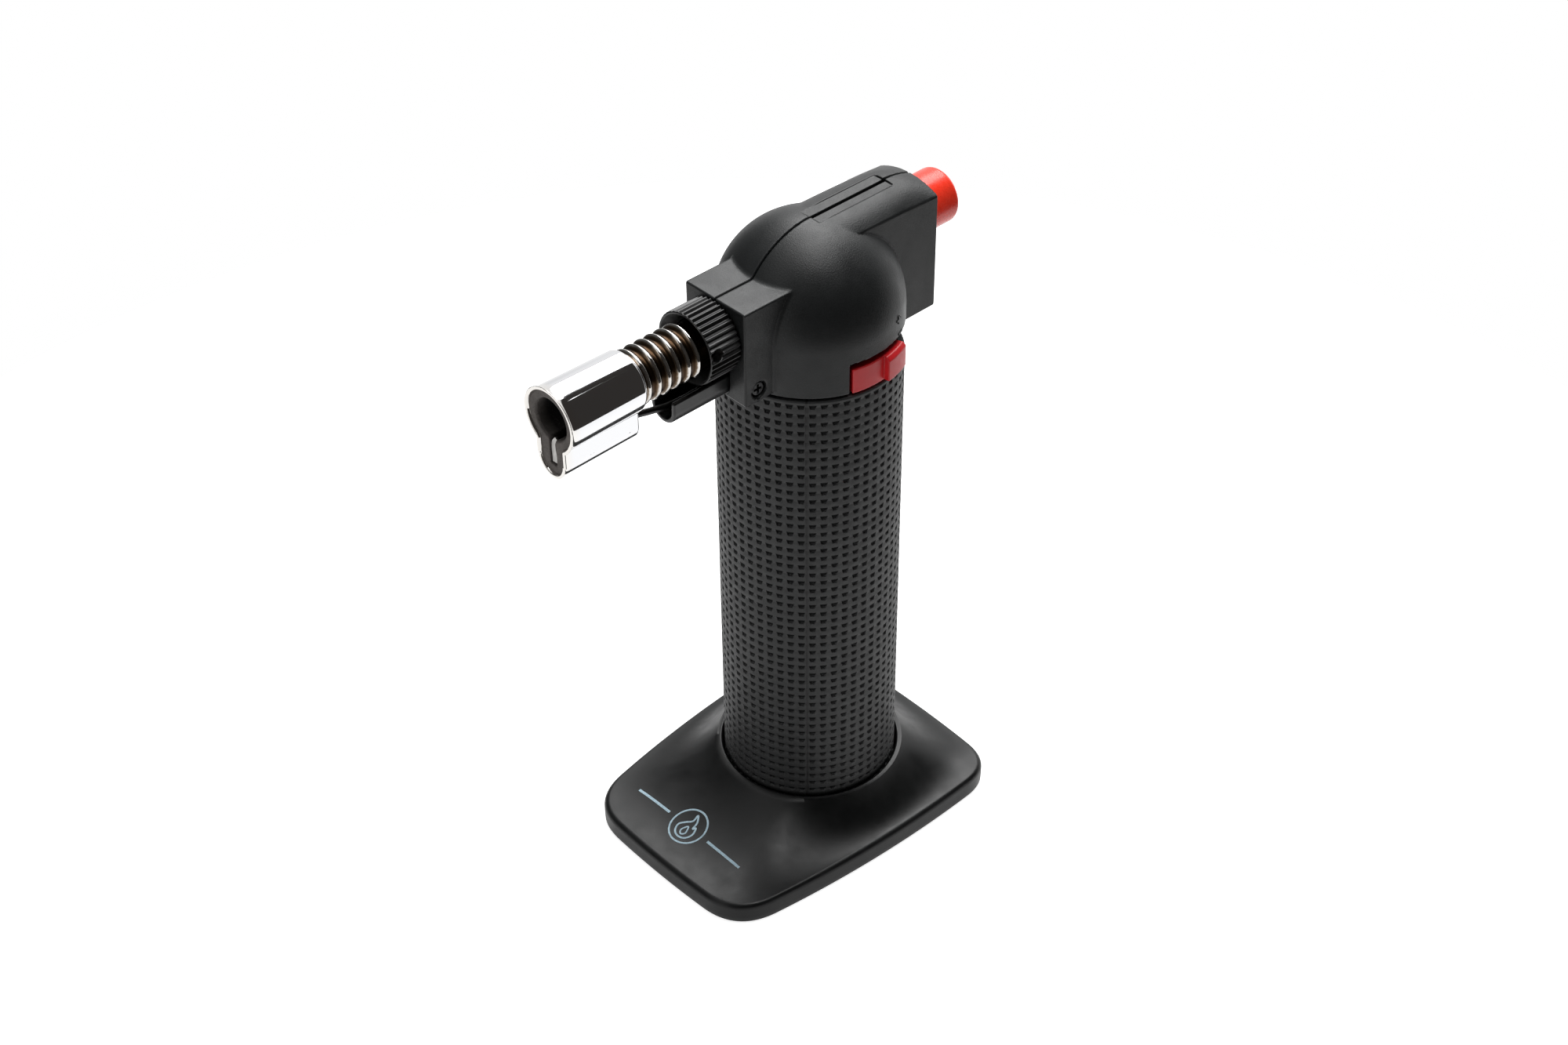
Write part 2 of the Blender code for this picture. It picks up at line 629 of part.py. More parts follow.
def head_body(name, inset):
    """The head as a solid, or its hollow when inset is the wall."""
    radius = HEAD_R - inset
    if inset:
        profile = [(14.3, 117.0), (14.3, 120.2), (radius, 120.2), (radius, DOME_Z)]
    else:
        profile = [(radius, HEAD_Z0), (radius, DOME_Z)]
    for i in range(1, 10):
        t = math.radians(90 * i / 10)
        profile.append((radius * math.cos(t), DOME_Z + radius * math.sin(t)))
    profile.append((0.9, DOME_Z + math.sqrt(radius**2 - 0.81)))
    body = lathe(name, profile, None if inset else "shell_black", ROUND)
    low, high = (-BLOCK_X + inset, BLOCK_Y + inset, BLOCK_Z0 + inset), (BLOCK_X - inset, -1, BLOCK_Z1 - inset)
    front = block("front", low, high)
    half = HOUSING_X - inset
    rear = loft(
        "rear",
        [
            housing_section(y, half, HOUSING_Z0 + inset, CROWN_Z - 1.3 * inset - drop, CREASE_Z - inset - 0.7 * drop)
            for y, drop in ((0, 0), (19.5, 0), (22.5, 0.3), (25.0, 0.9), (HOUSING_Y - inset, 1.6))
        ],
    )
    return join(body, front, rear)


def build_shells():
    whole = cut(head_body("shell_whole", 0.0), head_body("hollow", WALL))
    join(
        whole,
        block("case_shelf", (-6.8, 10.0, 133.2), (6.8, 19.0, 134.9)),
        block("case_rib", (-6.5, 11.0, 142.5), (6.5, 12.5, 146.8)),
        cut(
            block("jet_cradle", (-7.0, -19.5, 128.4), (7.0, -18.0, 140.5)),
            lathe_y("cradle_bore", [(3.6, -21.0), (3.6, -17.0)], BURNER_Z, count=24),
        ),
        rod_x("screw_boss", [(2.1, -7.0), (2.1, 7.0)], SCREW_Y, SCREW_Z),
    )
    slot_end = LEVER_TO + LEVER_TRAVEL + 2.0
    cut(
        whole,
        block("label_recess", (-2.65, -0.6, CROWN_Z - 0.6), (2.65, 20.0, CROWN_Z + 2)),
        lathe_y("burner_hole", [(5.3, -26.0), (5.3, -21.5)], BURNER_Z, count=28),
        loft("trough_hole", [solid_u(y, 3.7, 126.6) for y in (-26.0, -22.6)]),
        lathe_y("button_hole", [(6.2, 24.0), (6.2, 29.0)], BUTTON_Z, count=40),
        sector("lever_slot", 16.6, 22.0, 118.0, 126.3, LEVER_FROM - 1.6, slot_end, steps=16),
        rod_x("screw_core", [(1.05, -6.4), (1.05, 1.0)], SCREW_Y, SCREW_Z, count=12),
        rod_x("screw_way", [(1.3, 0.5), (1.3, 7.0)], SCREW_Y, SCREW_Z, count=12),
        rod_x("screw_head_seat", [(2.0, 6.6), (2.0, 9.0)], SCREW_Y, SCREW_Z, count=20),
    )
    left = twin(whole, "shell_left")
    right = twin(whole, "shell_right")
    bpy.data.objects.remove(whole, do_unlink=True)
    cut(left, block("right_half", (-SEAM, -60, 100), (60, 60, 170)))
    cut(right, block("left_half", (-60, -60, 100), (SEAM, 60, 170)))

    profile = [(1.65, 7.9), (1.65, 7.0), (0.95, 6.8), (0.95, -5.2), (0.4, -5.9)]
    screw = rod_x("shell_screw", profile, SCREW_Y, SCREW_Z, "black_steel", count=20)
    for size in ((1.0, 0.22), (0.22, 1.0)):
        low = (7.4, SCREW_Y - size[0], SCREW_Z - size[1])
        high = (8.5, SCREW_Y + size[0], SCREW_Z + size[1])
        cut(screw, block("cross", low, high))


def solid_u(y, radius, top):
    """The outline of a hole that takes the trough."""
    outline = [(-radius, y, top)]
    for i in range(11):
        t = math.pi + math.pi * i / 10
        outline.append((radius * math.cos(t), y, 123.1 + radius * math.sin(t)))
    outline.append((radius, y, top))
    return outline


# ---------------------------------------------------------------- placing


PIVOTS = {
    "igniter_button": (0, BUTTON_Y0, BUTTON_Z),
    "igniter_plunger": (0, BUTTON_Y0, BUTTON_Z),
    "gas_rocker": (0, ROCKER_Y, ROCKER_Z),
    "air_collar": (0, COLLAR_Y0, BURNER_Z),
}


def place():
    """Metres, the middle of the torch over the origin, and each origin on its joint's axis."""
    for obj in bpy.data.objects:
        pivot = Vector(PIVOTS.get(obj.name, (0, 0, 0)))
        obj.data.transform(Matrix.Scale(MM, 4) @ Matrix.Translation(-pivot))
        obj.location = (pivot + Vector((0, AXIS_Y, 0))) * MM
        obj.data.shade_smooth()
        obj.data.set_sharp_from_angle(angle=math.radians(32))


clear_scene()
build_foot()
build_tank()
build_filler()
build_valve()
build_lever()
build_rocker()
build_burner()
build_nozzle()
build_leads()
build_igniter()
build_shells()
place()
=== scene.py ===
"""Looks of the handheld butane torch: fine meshes, materials, floor, light and camera.

Lengths are in millimetres about the tank axis, as q = (x, y, z); put() moves a mesh to the frame,
in metres. The nozzle points along -Y and the gas lever is on the +X side.
"""

import json
import math

import bmesh
import bpy
import numpy as np
from mathutils import Matrix, Vector


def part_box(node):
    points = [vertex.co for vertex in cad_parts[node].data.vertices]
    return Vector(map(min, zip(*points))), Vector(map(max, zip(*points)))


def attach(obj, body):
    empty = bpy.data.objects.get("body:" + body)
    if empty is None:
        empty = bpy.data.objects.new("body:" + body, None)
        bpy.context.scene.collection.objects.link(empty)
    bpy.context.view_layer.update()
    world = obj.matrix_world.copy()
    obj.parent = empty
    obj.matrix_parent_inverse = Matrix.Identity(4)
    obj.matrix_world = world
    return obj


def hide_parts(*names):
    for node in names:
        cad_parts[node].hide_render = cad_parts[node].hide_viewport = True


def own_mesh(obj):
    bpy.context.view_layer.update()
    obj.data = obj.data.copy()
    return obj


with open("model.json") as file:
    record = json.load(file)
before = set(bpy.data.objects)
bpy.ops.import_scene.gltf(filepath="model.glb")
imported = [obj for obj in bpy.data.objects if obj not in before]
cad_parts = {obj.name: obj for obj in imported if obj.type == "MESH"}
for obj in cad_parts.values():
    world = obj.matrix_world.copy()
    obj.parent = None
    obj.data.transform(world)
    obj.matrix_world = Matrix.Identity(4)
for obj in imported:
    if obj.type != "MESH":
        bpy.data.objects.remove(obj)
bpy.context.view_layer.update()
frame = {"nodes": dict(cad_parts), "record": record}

MM = 0.001
tank_low, tank_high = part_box("fuel_tank")
AXIS = (tank_low + tank_high) / 2
AXIS.z = 0.0


def box_mm(*nodes):
    """Lowest and highest corner of some CAD nodes together, in millimetres about the tank axis."""
    corners = [(corner - AXIS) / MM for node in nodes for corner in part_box(node)]
    return np.min(corners, axis=0), np.max(corners, axis=0)


# ---- sizes, from the frame

GRIP_LOW, GRIP_HIGH = box_mm("grip_sleeve")
GRIP_R = GRIP_HIGH[0]
TANK_R = (tank_high.x - tank_low.x) / 2 / MM
FOOT_LOW, FOOT_HIGH = box_mm("foot_stand")
HEAD_LOW, HEAD_HIGH = box_mm("shell_left", "shell_right")
HEAD_R = HEAD_HIGH[0]
DOME_DROP = 0.25  # leaves the crown a little above the dome
DOME_Z = HEAD_HIGH[2] - HEAD_R - DOME_DROP
SEAM = box_mm("shell_right")[0][0]
TUBE_LOW, TUBE_HIGH = box_mm("burner_tube")
BURNER_Z = (TUBE_LOW[2] + TUBE_HIGH[2]) / 2
RIB_R = TUBE_HIGH[0]
COLLAR_LOW, COLLAR_HIGH = box_mm("air_collar")
COLLAR_R = COLLAR_HIGH[0]
SHEATH_LOW, SHEATH_HIGH = box_mm("nozzle_sheath")
INSERT_LOW, INSERT_HIGH = box_mm("nozzle_insert")
BUTTON_LOW, BUTTON_HIGH = box_mm("igniter_button")
BUTTON_R = BUTTON_HIGH[0]
BUTTON_Z = (BUTTON_LOW[2] + BUTTON_HIGH[2]) / 2
LEVER_LOW, LEVER_HIGH = box_mm("gas_lever")
TROUGH_LOW, TROUGH_HIGH = box_mm("wire_trough")
SCREW_LOW, SCREW_HIGH = box_mm("shell_screw")
SCREW_Y, SCREW_Z = (SCREW_LOW[1] + SCREW_HIGH[1]) / 2, (SCREW_LOW[2] + SCREW_HIGH[2]) / 2

# Head
WALL = 1.8
BLOCK_X, BLOCK_Z0, BLOCK_Z1 = 8.3, HEAD_LOW[2] + 0.8, 141.4
HOUSING_X, HOUSING_Z0 = 8.0, HEAD_LOW[2] + 0.4
CROWN_Z, CREASE_Z = 148.8, 146.08
EDGE = 0.35

# Burner and nozzle
TUBE_R, RIBS, RIB_PITCH, RIB_FIRST = 4.9, 6, 2.4, -33.4
LOBE_Z, LOBE_R, WIRE_Z = 124.7, 3.65, 124.8
TROUGH_Z, TROUGH_OUT, TROUGH_IN = 123.1, 3.4, 2.5
COLLAR_RIBS = 38
AIR_HOLE_Y, AIR_HOLE_ANGLE = -30.4, 10.0

# Lever
LEVER_FROM, LEVER_STEP, LEVER_TO, LEVER_TRAVEL = -17.4, 6.2, 25.0, 35.0

# Foot
FOOT_SOCKET_R, FOOT_COLLAR_Z, FOOT_WALL, FOOT_RIM_Z = 19.5, 12.7, 1.8, 5.0
FOOT_FACE_R, FOOT_ROLL = 20.7, 1.3


# ---- meshes


def put(name, points, faces, body, paint, nodes=(), slot="", normals=None, sharp=40):
    """Makes a piece from millimetre points, which rides on body and stands for some CAD nodes.

    The name of its paint is also its material slot; slot is not used.
    """
    mesh = bpy.data.meshes.new(name)
    points = np.asarray(points, float) * MM + np.array(AXIS)
    mesh.from_pydata(points.tolist(), [], [tuple(map(int, face)) for face in faces])
    mesh.materials.append(PAINT[paint])
    mesh.shade_smooth()
    if normals is None:
        mesh.set_sharp_from_angle(angle=math.radians(sharp))
    else:
        mesh.normals_split_custom_set_from_vertices(normals.tolist())
    piece = bpy.data.objects.new(name, mesh)
    bpy.context.scene.collection.objects.link(piece)
    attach(piece, body)
    if nodes:
        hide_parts(*nodes)
    return piece


def skin_faces(rows, columns, around=True, loop=False, flip=False):
    """Quads between rows of points; around closes each row, loop joins the last row to the first."""
    faces = []
    for i in range(rows if loop else rows - 1):
        for j in range(columns if around else columns - 1):
            a, b = i * columns + j, i * columns + (j + 1) % columns
            c, d = (i + 1) % rows * columns + (j + 1) % columns, (i + 1) % rows * columns + j
            faces.append((a, d, c, b) if flip else (a, b, c, d))
    return faces


def skin(name, rings, *rest, loop=False, flip=False, caps=False, **options):
    """A piece through rings of points that all have the same count."""
    if caps:
        points, faces = closed_skin(rings, flip)
    else:
        points = [p for ring in rings for p in ring]
        faces = skin_faces(len(rings), len(rings[0]), loop=loop, flip=flip)
    return put(name, points, faces, *rest, **options)


def closed_skin(rings, flip=False):
    """Points and faces of a skin through the rings, with both ends capped."""
    count = len(rings[0])
    faces = skin_faces(len(rings), count, flip=flip)
    first, last = tuple(range(count)), tuple(range((len(rings) - 1) * count, len(rings) * count))
    faces += [first, last[::-1]] if flip else [first[::-1], last]
    return [p for ring in rings for p in ring], faces


def merged(parts):
    """Points and faces of several parts as one mesh."""
    points, faces = [], []
    for part_points, part_faces in parts:
        faces += [tuple(len(points) + i for i in face) for face in part_faces]
        points += part_points
    return points, faces


def turned_y(profile, count, z):
    """Rings of (radius, y) pairs about a line along Y at height z."""
    angles = np.arange(count) * 2 * math.pi / count
    return [[(r * math.cos(t), y, z + r * math.sin(t)) for t in angles] for r, y in profile]


def arc(centre, radius, start, end, steps):
    """Points of a circle's arc in a profile plane, angles in degrees."""
    turns = np.radians(np.linspace(start, end, steps + 1))
    return [(centre[0] + radius * math.cos(t), centre[1] + radius * math.sin(t)) for t in turns]


def sculpt(name, field, low, high, step, *rest, **options):
    """A piece from the surface where field(points) is zero, with its normals from the field's slope.

    Each grid cell that the surface crosses gets one point, and each crossed grid edge one quad.
    """
    margin = 1.5 * step
    axes = [np.arange(a - margin, b + margin, step) for a, b in zip(low, high)]
    grid = np.stack(np.meshgrid(*axes, indexing="ij"), -1)
    value = field(grid)
    shape = tuple(n - 1 for n in value.shape)
    weight, total = np.zeros(shape), np.zeros((*shape, 3))
    crossings = []
    for axis in range(3):
        near = np.moveaxis(value, axis, 0)[:-1]
        far = np.moveaxis(value, axis, 0)[1:]
        hit = np.argwhere((near < 0) != (far < 0))
        share = near[tuple(hit.T)] / (near[tuple(hit.T)] - far[tuple(hit.T)])
        others = [a for a in range(3) if a != axis]
        index = np.empty_like(hit)
        index[:, [axis, *others]] = hit
        point = grid[tuple(index.T)].copy()
        point[:, axis] += share * step
        inside = near[tuple(hit.T)] < 0
        crossings.append((others, index, inside))
        for corner in ((0, 0), (0, 1), (1, 0), (1, 1)):
            cell = index.copy()
            cell[:, others] -= corner
            np.add.at(weight, tuple(cell.T), 1)
            np.add.at(total, tuple(cell.T), point)
    used = weight > 0
    number = np.full(shape, -1)
    number[used] = np.arange(used.sum())
    points = total[used] / weight[used][:, None]
    for _ in range(4):
        points, slope = settle(points, field, step)
    faces = []
    for axis, (others, index, inside) in enumerate(crossings):
        corners = []
        for corner in ((1, 1), (0, 1), (0, 0), (1, 0)):
            cell = index.copy()
            cell[:, others] -= corner
            corners.append(number[tuple(cell.T)])
        quads = np.stack(corners, 1)
        turned = inside if axis != 1 else ~inside
        quads[~turned] = quads[~turned][:, ::-1]
        faces.append(quads)
    return put(name, points, np.concatenate(faces), *rest, normals=slope, **options)


def settle(points, field, step):
    """Moves points along the field's slope onto its zero surface; returns them and unit normals."""
    reach = 0.04 * step  # half the distance that the slope is read over
    slope = np.empty_like(points)
    for axis in range(3):
        offset = np.zeros(3)
        offset[axis] = reach
        slope[:, axis] = (field(points + offset) - field(points - offset)) / (2 * reach)
    length = np.maximum(np.linalg.norm(slope, axis=1, keepdims=True), 0.2)
    unit = slope / length
    move = -field(points)[:, None] / length
    return points + unit * np.clip(move, -0.5 * step, 0.5 * step), unit


# ---- distance fields


def round_and(r, *parts):
    """The common part of some solids, with edges rounded to radius r."""
    found = parts[0]
    for part in parts[1:]:
        a, b = np.maximum(found + r, 0), np.maximum(part + r, 0)
        found = np.minimum(np.maximum(found, part), -r) + np.hypot(a, b)
    return found


def round_or(r, *parts):
    """Some solids joined, with a fillet of radius r where they meet."""
    found = parts[0]
    for part in parts[1:]:
        a, b = np.maximum(r - found, 0), np.maximum(r - part, 0)
        found = np.maximum(np.minimum(found, part), r) - np.hypot(a, b)
    return found


def parts_of(q):
    """The x, y and z of every point."""
    return q[..., 0], q[..., 1], q[..., 2]


def between(v, low, high):
    """Negative where v is between low and high."""
    return np.abs(v - (low + high) / 2) - (high - low) / 2


def box_field(q, low, high, r):
    """A box with edges rounded to radius r."""
    x, y, z = (between(q[..., i], low[i], high[i]) for i in range(3))
    return round_and(r, x, y, z)


def around_y(q, z):
    """Distance from the line along Y at height z."""
    return np.hypot(q[..., 0], q[..., 2] - z)


def around_x(q, y, z):
    """Distance from the line along X at y and z."""
    return np.hypot(q[..., 1] - y, q[..., 2] - z)


def keyhole_field(q, radius, lobe):
    """A circle about the burner axis with a round-ended lobe below it, in the XZ plane."""
    x, z = np.abs(q[..., 0]), q[..., 2]
    circle = np.hypot(x, z - BURNER_Z) - radius
    drop = np.clip(z, LOBE_Z, BURNER_Z)
    stem = np.hypot(x, z - drop) - lobe
    return round_or(0.35, circle, stem)


def sector_field(q, inner, outer, low, high, start, end, r, bevel=0.0):
    """A piece of a ring between two angles, in degrees from +X towards +Y."""
    x, y, z = parts_of(q)
    radius = np.hypot(x, y)
    middle, half = math.radians((start + end) / 2), math.radians((end - start) / 2)
    cos, sin = math.cos(middle), math.sin(middle)
    turn = np.arctan2(y * cos - x * sin, x * cos + y * sin)
    parts = [(np.abs(turn) - half) * outer, between(radius, inner, outer), between(z, low, high)]
    if bevel:
        parts.append(((radius - outer) + (z - high) + bevel) * math.sqrt(0.5))
    return round_and(r, *parts)


def head_field(q):
    """The whole head as one solid, without its hollow."""
    x, y, z = parts_of(q)
    round_part = np.hypot(np.hypot(x, y), np.maximum(z - DOME_Z, 0)) - HEAD_R
    drum = round_and(EDGE, round_part, HEAD_LOW[2] - z)
    block = box_field(q, (-BLOCK_X, HEAD_LOW[1], BLOCK_Z0), (BLOCK_X, -1, BLOCK_Z1), EDGE)
    droop = 1.6 * np.clip((y - 19.5) / (HEAD_HIGH[1] - 19.5), 0, 1.2) ** 2
    droop = droop + 0.24 * np.clip(1 - y / 7, 0, 1) ** 2
    rise = CROWN_Z - droop - (CREASE_Z - 0.00105 * np.clip(y, 0, HEAD_HIGH[1]) ** 2)
    barrel_r = (HOUSING_X**2 + rise**2) / (2 * rise)
    barrel = np.hypot(x, np.maximum(z - (CROWN_Z - droop - barrel_r), 0)) - barrel_r
    sides = np.abs(x) - HOUSING_X
    housing = round_and(0.25, sides, barrel, between(y, 0, HEAD_HIGH[1]), HOUSING_Z0 - z)
    return round_or(0.5, round_or(0.12, drum, housing), block)


def shell_field(q, side):
    """One half of the hollow head; side is -1 for the left half and 1 for the right."""
    x, y, z = parts_of(q)
    whole = head_field(q)
    hollow = np.minimum(
        np.maximum(whole + WALL, HEAD_LOW[2] + 0.8 - z),
        np.maximum(np.hypot(x, y) - 14.3, z - HEAD_LOW[2] - 2),
    )
    shelf = box_field(q, (-6.8, 10.0, 133.2), (6.8, 19.0, 134.9), 0.2)
    rib = box_field(q, (-6.5, 11.0, 142.5), (6.5, 12.5, 146.8), 0.2)
    cradle = np.maximum(
        box_field(q, (-7.0, -19.5, 128.4), (7.0, -18.0, 140.5), 0.2), 3.6 - around_y(q, BURNER_Z)
    )
    boss = np.maximum(around_x(q, SCREW_Y, SCREW_Z) - 2.1, np.abs(x) - 7)
    solid = np.minimum.reduce([np.maximum(whole, -hollow), shelf, rib, cradle, boss])

    recess = box_field(q, (-2.6, 0.3, CROWN_Z - 0.42), (2.6, 20.0, CROWN_Z + 3), 0.05)
    trough = np.hypot(x, np.minimum(z - TROUGH_Z, 0)) - TROUGH_OUT - 0.3
    trough = np.maximum.reduce([trough, y + 22.6, z - 126.6])
    slot = sector_field(
        q, 16.6, 24.0, HEAD_LOW[2] - 4, LEVER_HIGH[2] + 1.4,
        LEVER_FROM - 1.6, LEVER_TO + LEVER_TRAVEL + 2, 0.3,
    )
    screw = around_x(q, SCREW_Y, SCREW_Z)
    openings = [
        recess,
        np.maximum(around_y(q, BURNER_Z) - 5.3, y + 21.5),
        trough,
        np.maximum(around_y(q, BUTTON_Z) - BUTTON_R - 0.3, 24 - y),
        slot,
        np.maximum(screw - 1.05, between(x, -6.4, 1.0)),
        np.maximum(screw - 1.3, between(x, 0.5, 7.0)),
        np.maximum(screw - 1.75, between(x, 6.6, 9.0)),
        np.maximum.reduce([np.abs(x) - 0.30, between(y, 0.3, 20.0), CROWN_Z - 1.3 - z]),
    ]
    for opening in openings:
        solid = round_and(0.15, solid, -opening)
    return round_and(0.25, solid, SEAM - side * x)


# ---- materials


class Nodes:
    """A node tree, with short ways to add the nodes used here."""

    def __init__(self, tree):
        self.tree = tree

    def add(self, kind, **sockets):
        """A node with its sockets set to values or linked to other nodes' outputs."""
        node = self.tree.nodes.new(kind)
        for name, value in sockets.items():
            self.feed(node.inputs[name.replace("_", " ")], value)
        return node

    def feed(self, socket, value):
        if isinstance(value, bpy.types.NodeSocket):
            self.tree.links.new(value, socket)
        else:
            socket.default_value = value

    def ramp(self, value, *stops):
        """A colour ramp through (position, grey or colour) stops."""
        node = self.add("ShaderNodeValToRGB", Fac=value)
        elements = node.color_ramp.elements
        while len(elements) < len(stops):
            elements.new(0.5)
        for element, (position, colour) in zip(elements, stops):
            element.position = position
            grey = isinstance(colour, (int, float))
            element.color = (colour, colour, colour, 1) if grey else (*colour, 1)
        return node.outputs["Color"]

    def math(self, operation, *values, clamp=False):
        node = self.tree.nodes.new("ShaderNodeMath")
        node.operation = operation
        node.use_clamp = clamp
        for socket, value in zip(node.inputs, values):
            self.feed(socket, value)
        return node.outputs[0]

    def blend(self, share, first, second, kind="MIX"):
        node = self.tree.nodes.new("ShaderNodeMix")
        node.data_type, node.blend_type = "RGBA", kind
        self.feed(node.inputs["Factor"], share)
        for socket, value in zip(node.inputs[6:8], (first, second)):
            self.feed(socket, (*value, 1) if isinstance(value, tuple) else value)
        return node.outputs[2]


class Finish(Nodes):
    """A Principled material whose nodes read millimetres about the tank axis."""

    def __init__(self, name, **values):
        self.material = bpy.data.materials.new(name)
        self.material.use_nodes = True
        super().__init__(self.material.node_tree)
        self.surface = self.tree.nodes["Principled BSDF"]
        for socket, value in values.items():
            self.surface.inputs[socket.replace("_", " ")].default_value = value
        place = self.add("ShaderNodeTexCoord").outputs["Object"]
        fit = self.add("ShaderNodeMapping", Vector=place)
        fit.inputs["Location"].default_value = tuple(-AXIS / MM)
        fit.inputs["Scale"].default_value = (1 / MM,) * 3
        self.place = fit.outputs["Vector"]
        self.normal = None

    def noise(self, scale, detail=3.0, roughness=0.55, stretch=None):
        """Noise with about scale lumps per millimetre."""
        place = self.place
        if stretch:
            squeeze = self.add("ShaderNodeMapping", Vector=place)
            squeeze.inputs["Scale"].default_value = stretch
            place = squeeze.outputs["Vector"]
        sizes = {"Scale": scale, "Detail": detail, "Roughness": roughness}
        return self.add("ShaderNodeTexNoise", Vector=place, **sizes).outputs["Fac"]

    def axis_parts(self):
        """The separate x, y and z of the place, in millimetres."""
        node = self.add("ShaderNodeSeparateXYZ", Vector=self.place)
        return node.outputs["X"], node.outputs["Y"], node.outputs["Z"]

    def edges(self, low=0.52, high=0.6):
        """Bright on worn convex edges."""
        pointed = self.add("ShaderNodeNewGeometry").outputs["Pointiness"]
        return self.ramp(pointed, (low, 0.0), (high, 1.0))

    def bump(self, height, depth):
        """Adds relief of depth millimetres."""
        node = self.add("ShaderNodeBump", Height=height, Strength=1.0, Distance=depth * MM)
        if self.normal:
            self.feed(node.inputs["Normal"], self.normal)
        self.normal = node.outputs["Normal"]
        self.feed(self.surface.inputs["Normal"], self.normal)

    def colour(self, value, *stops):
        """Base colour from a value, through a ramp where stops are given."""
        self.feed(self.surface.inputs["Base Color"], self.ramp(value, *stops) if stops else value)

    def rough(self, value, *stops):
        self.feed(self.surface.inputs["Roughness"], self.ramp(value, *stops))


def shade(colour, share):
    """A colour made darker or lighter by a factor."""
    return tuple(c * share for c in colour)


def moulded(name, colour, roughness, grain=3.0, depth=0.02, worn=1.6, shine=0.5, **values):
    """Moulded plastic: fine spark-eroded grain, faint flow clouds and slightly rubbed edges."""
    finish = Finish(name, Specular_IOR_Level=shine, **values)
    cloud = finish.noise(0.09, 4.0)
    plain = finish.ramp(cloud, (0.3, shade(colour, 0.86)), (0.7, shade(colour, 1.14)))
    speck = finish.noise(grain * 1.7, 2.0)
    rubbed = finish.math("MULTIPLY", finish.edges(), speck)
    finish.colour(finish.blend(rubbed, plain, shade(colour, worn)))
    handled = finish.noise(0.25, 5.0, 0.6)
    finish.rough(handled, (0.3, roughness - 0.05), (0.72, roughness + 0.07))
    finish.bump(finish.noise(grain, 3.0, 0.6), depth)
    return finish.material


def machined(name, colour, roughness, stretch, scale=1.2, stain=0.75, **values):
    """Turned or drawn metal: fine tool lines and patches of tarnish."""
    finish = Finish(name, Metallic=1.0, **values)
    patch = finish.noise(0.35, 4.0)
    finish.colour(patch, (0.25, shade(colour, stain)), (0.6, colour))
    lines = finish.noise(scale, 3.0, 0.6, stretch)
    finish.rough(lines, (0.3, roughness * 0.75), (0.75, roughness * 1.5))
    finish.bump(lines, 0.012)
    return finish.material


RUBBER = (0.0095, 0.0100, 0.0102)
UNDERCUT = 0.18  # how far a face has to look down to get the painted shade of the pits' upper walls


def grip_rubber():
    """Soft black rubber with a bloom of dust on the lattice, the mould's four parting lines, and
    painted light on the faces that look up.
    """
    finish = Finish("grip_rubber")
    bloom = finish.noise(0.12, 5.0, 0.6)
    plain = finish.ramp(bloom, (0.3, shade(RUBBER, 0.8)), (0.72, shade(RUBBER, 1.35)))
    x, y, z = finish.axis_parts()
    flat_normal = finish.add("ShaderNodeNewGeometry").outputs["True Normal"]
    facing = finish.add("ShaderNodeSeparateXYZ", Vector=flat_normal)
    # the parting lines lie where |x| = |y|
    gap = finish.math("SUBTRACT", finish.math("ABSOLUTE", x), finish.math("ABSOLUTE", y))
    line = finish.ramp(finish.math("ABSOLUTE", gap), (0.17, 1.0), (0.33, 0.0))
    dusty = finish.math("MULTIPLY", finish.edges(0.50, 0.62), finish.noise(1.1, 4.0))
    worn = finish.blend(dusty, plain, shade(RUBBER, 2.0))
    # painted light: faces that look up, the lower walls of the pits, are painted much lighter, as if
    # lit
    upper = finish.ramp(facing.outputs["Z"], (0.25, 0.0), (0.45, 1.0))
    lit = finish.blend(upper, worn, shade(RUBBER, 2.8))
    finish.colour(finish.blend(line, lit, shade(RUBBER, 0.12)))
    finish.rough(finish.noise(0.6, 4.0), (0.3, 0.46), (0.75, 0.62))
    finish.bump(finish.noise(5.0, 2.0), 0.012)
    finish.bump(finish.math("SUBTRACT", 1.0, line), 0.16)
    return finish.material


def grip_painted_shade():
    """Painted shade on the upper walls of the sleeve's pits: darker, duller rubber on the faces that
    look down.
    """
    finish = Finish("grip_painted_shade", Specular_IOR_Level=0.06)
    bloom = finish.noise(0.3, 4.0, 0.6)
    # painted shade: rubber at 0.4 to 0.75 of its own colour
    finish.colour(bloom, (0.3, shade(RUBBER, 0.4)), (0.72, shade(RUBBER, 0.75)))
    finish.rough(finish.noise(0.6, 4.0), (0.3, 0.6), (0.75, 0.75))
    finish.bump(finish.noise(5.0, 2.0), 0.012)
    return finish.material


def mirror_chrome():
    """Polished chrome with hairline scratches and slight heat haze towards the mouth."""
    finish = Finish("chrome", Metallic=1.0)
    x, y, z = finish.axis_parts()
    haze = finish.math("MULTIPLY_ADD", y, -0.4, SHEATH_LOW[1] * 0.4 + 1.0)
    finish.colour(haze, (0.0, (0.82, 0.825, 0.84)), (1.0, (0.80, 0.775, 0.74)))
    scratches = finish.noise(2.2, 4.0, 0.7, (1.0, 0.12, 1.0))
    finish.rough(scratches, (0.45, 0.05), (0.8, 0.075))
    finish.bump(finish.noise(0.35, 1.0), 0.001)
    return finish.material


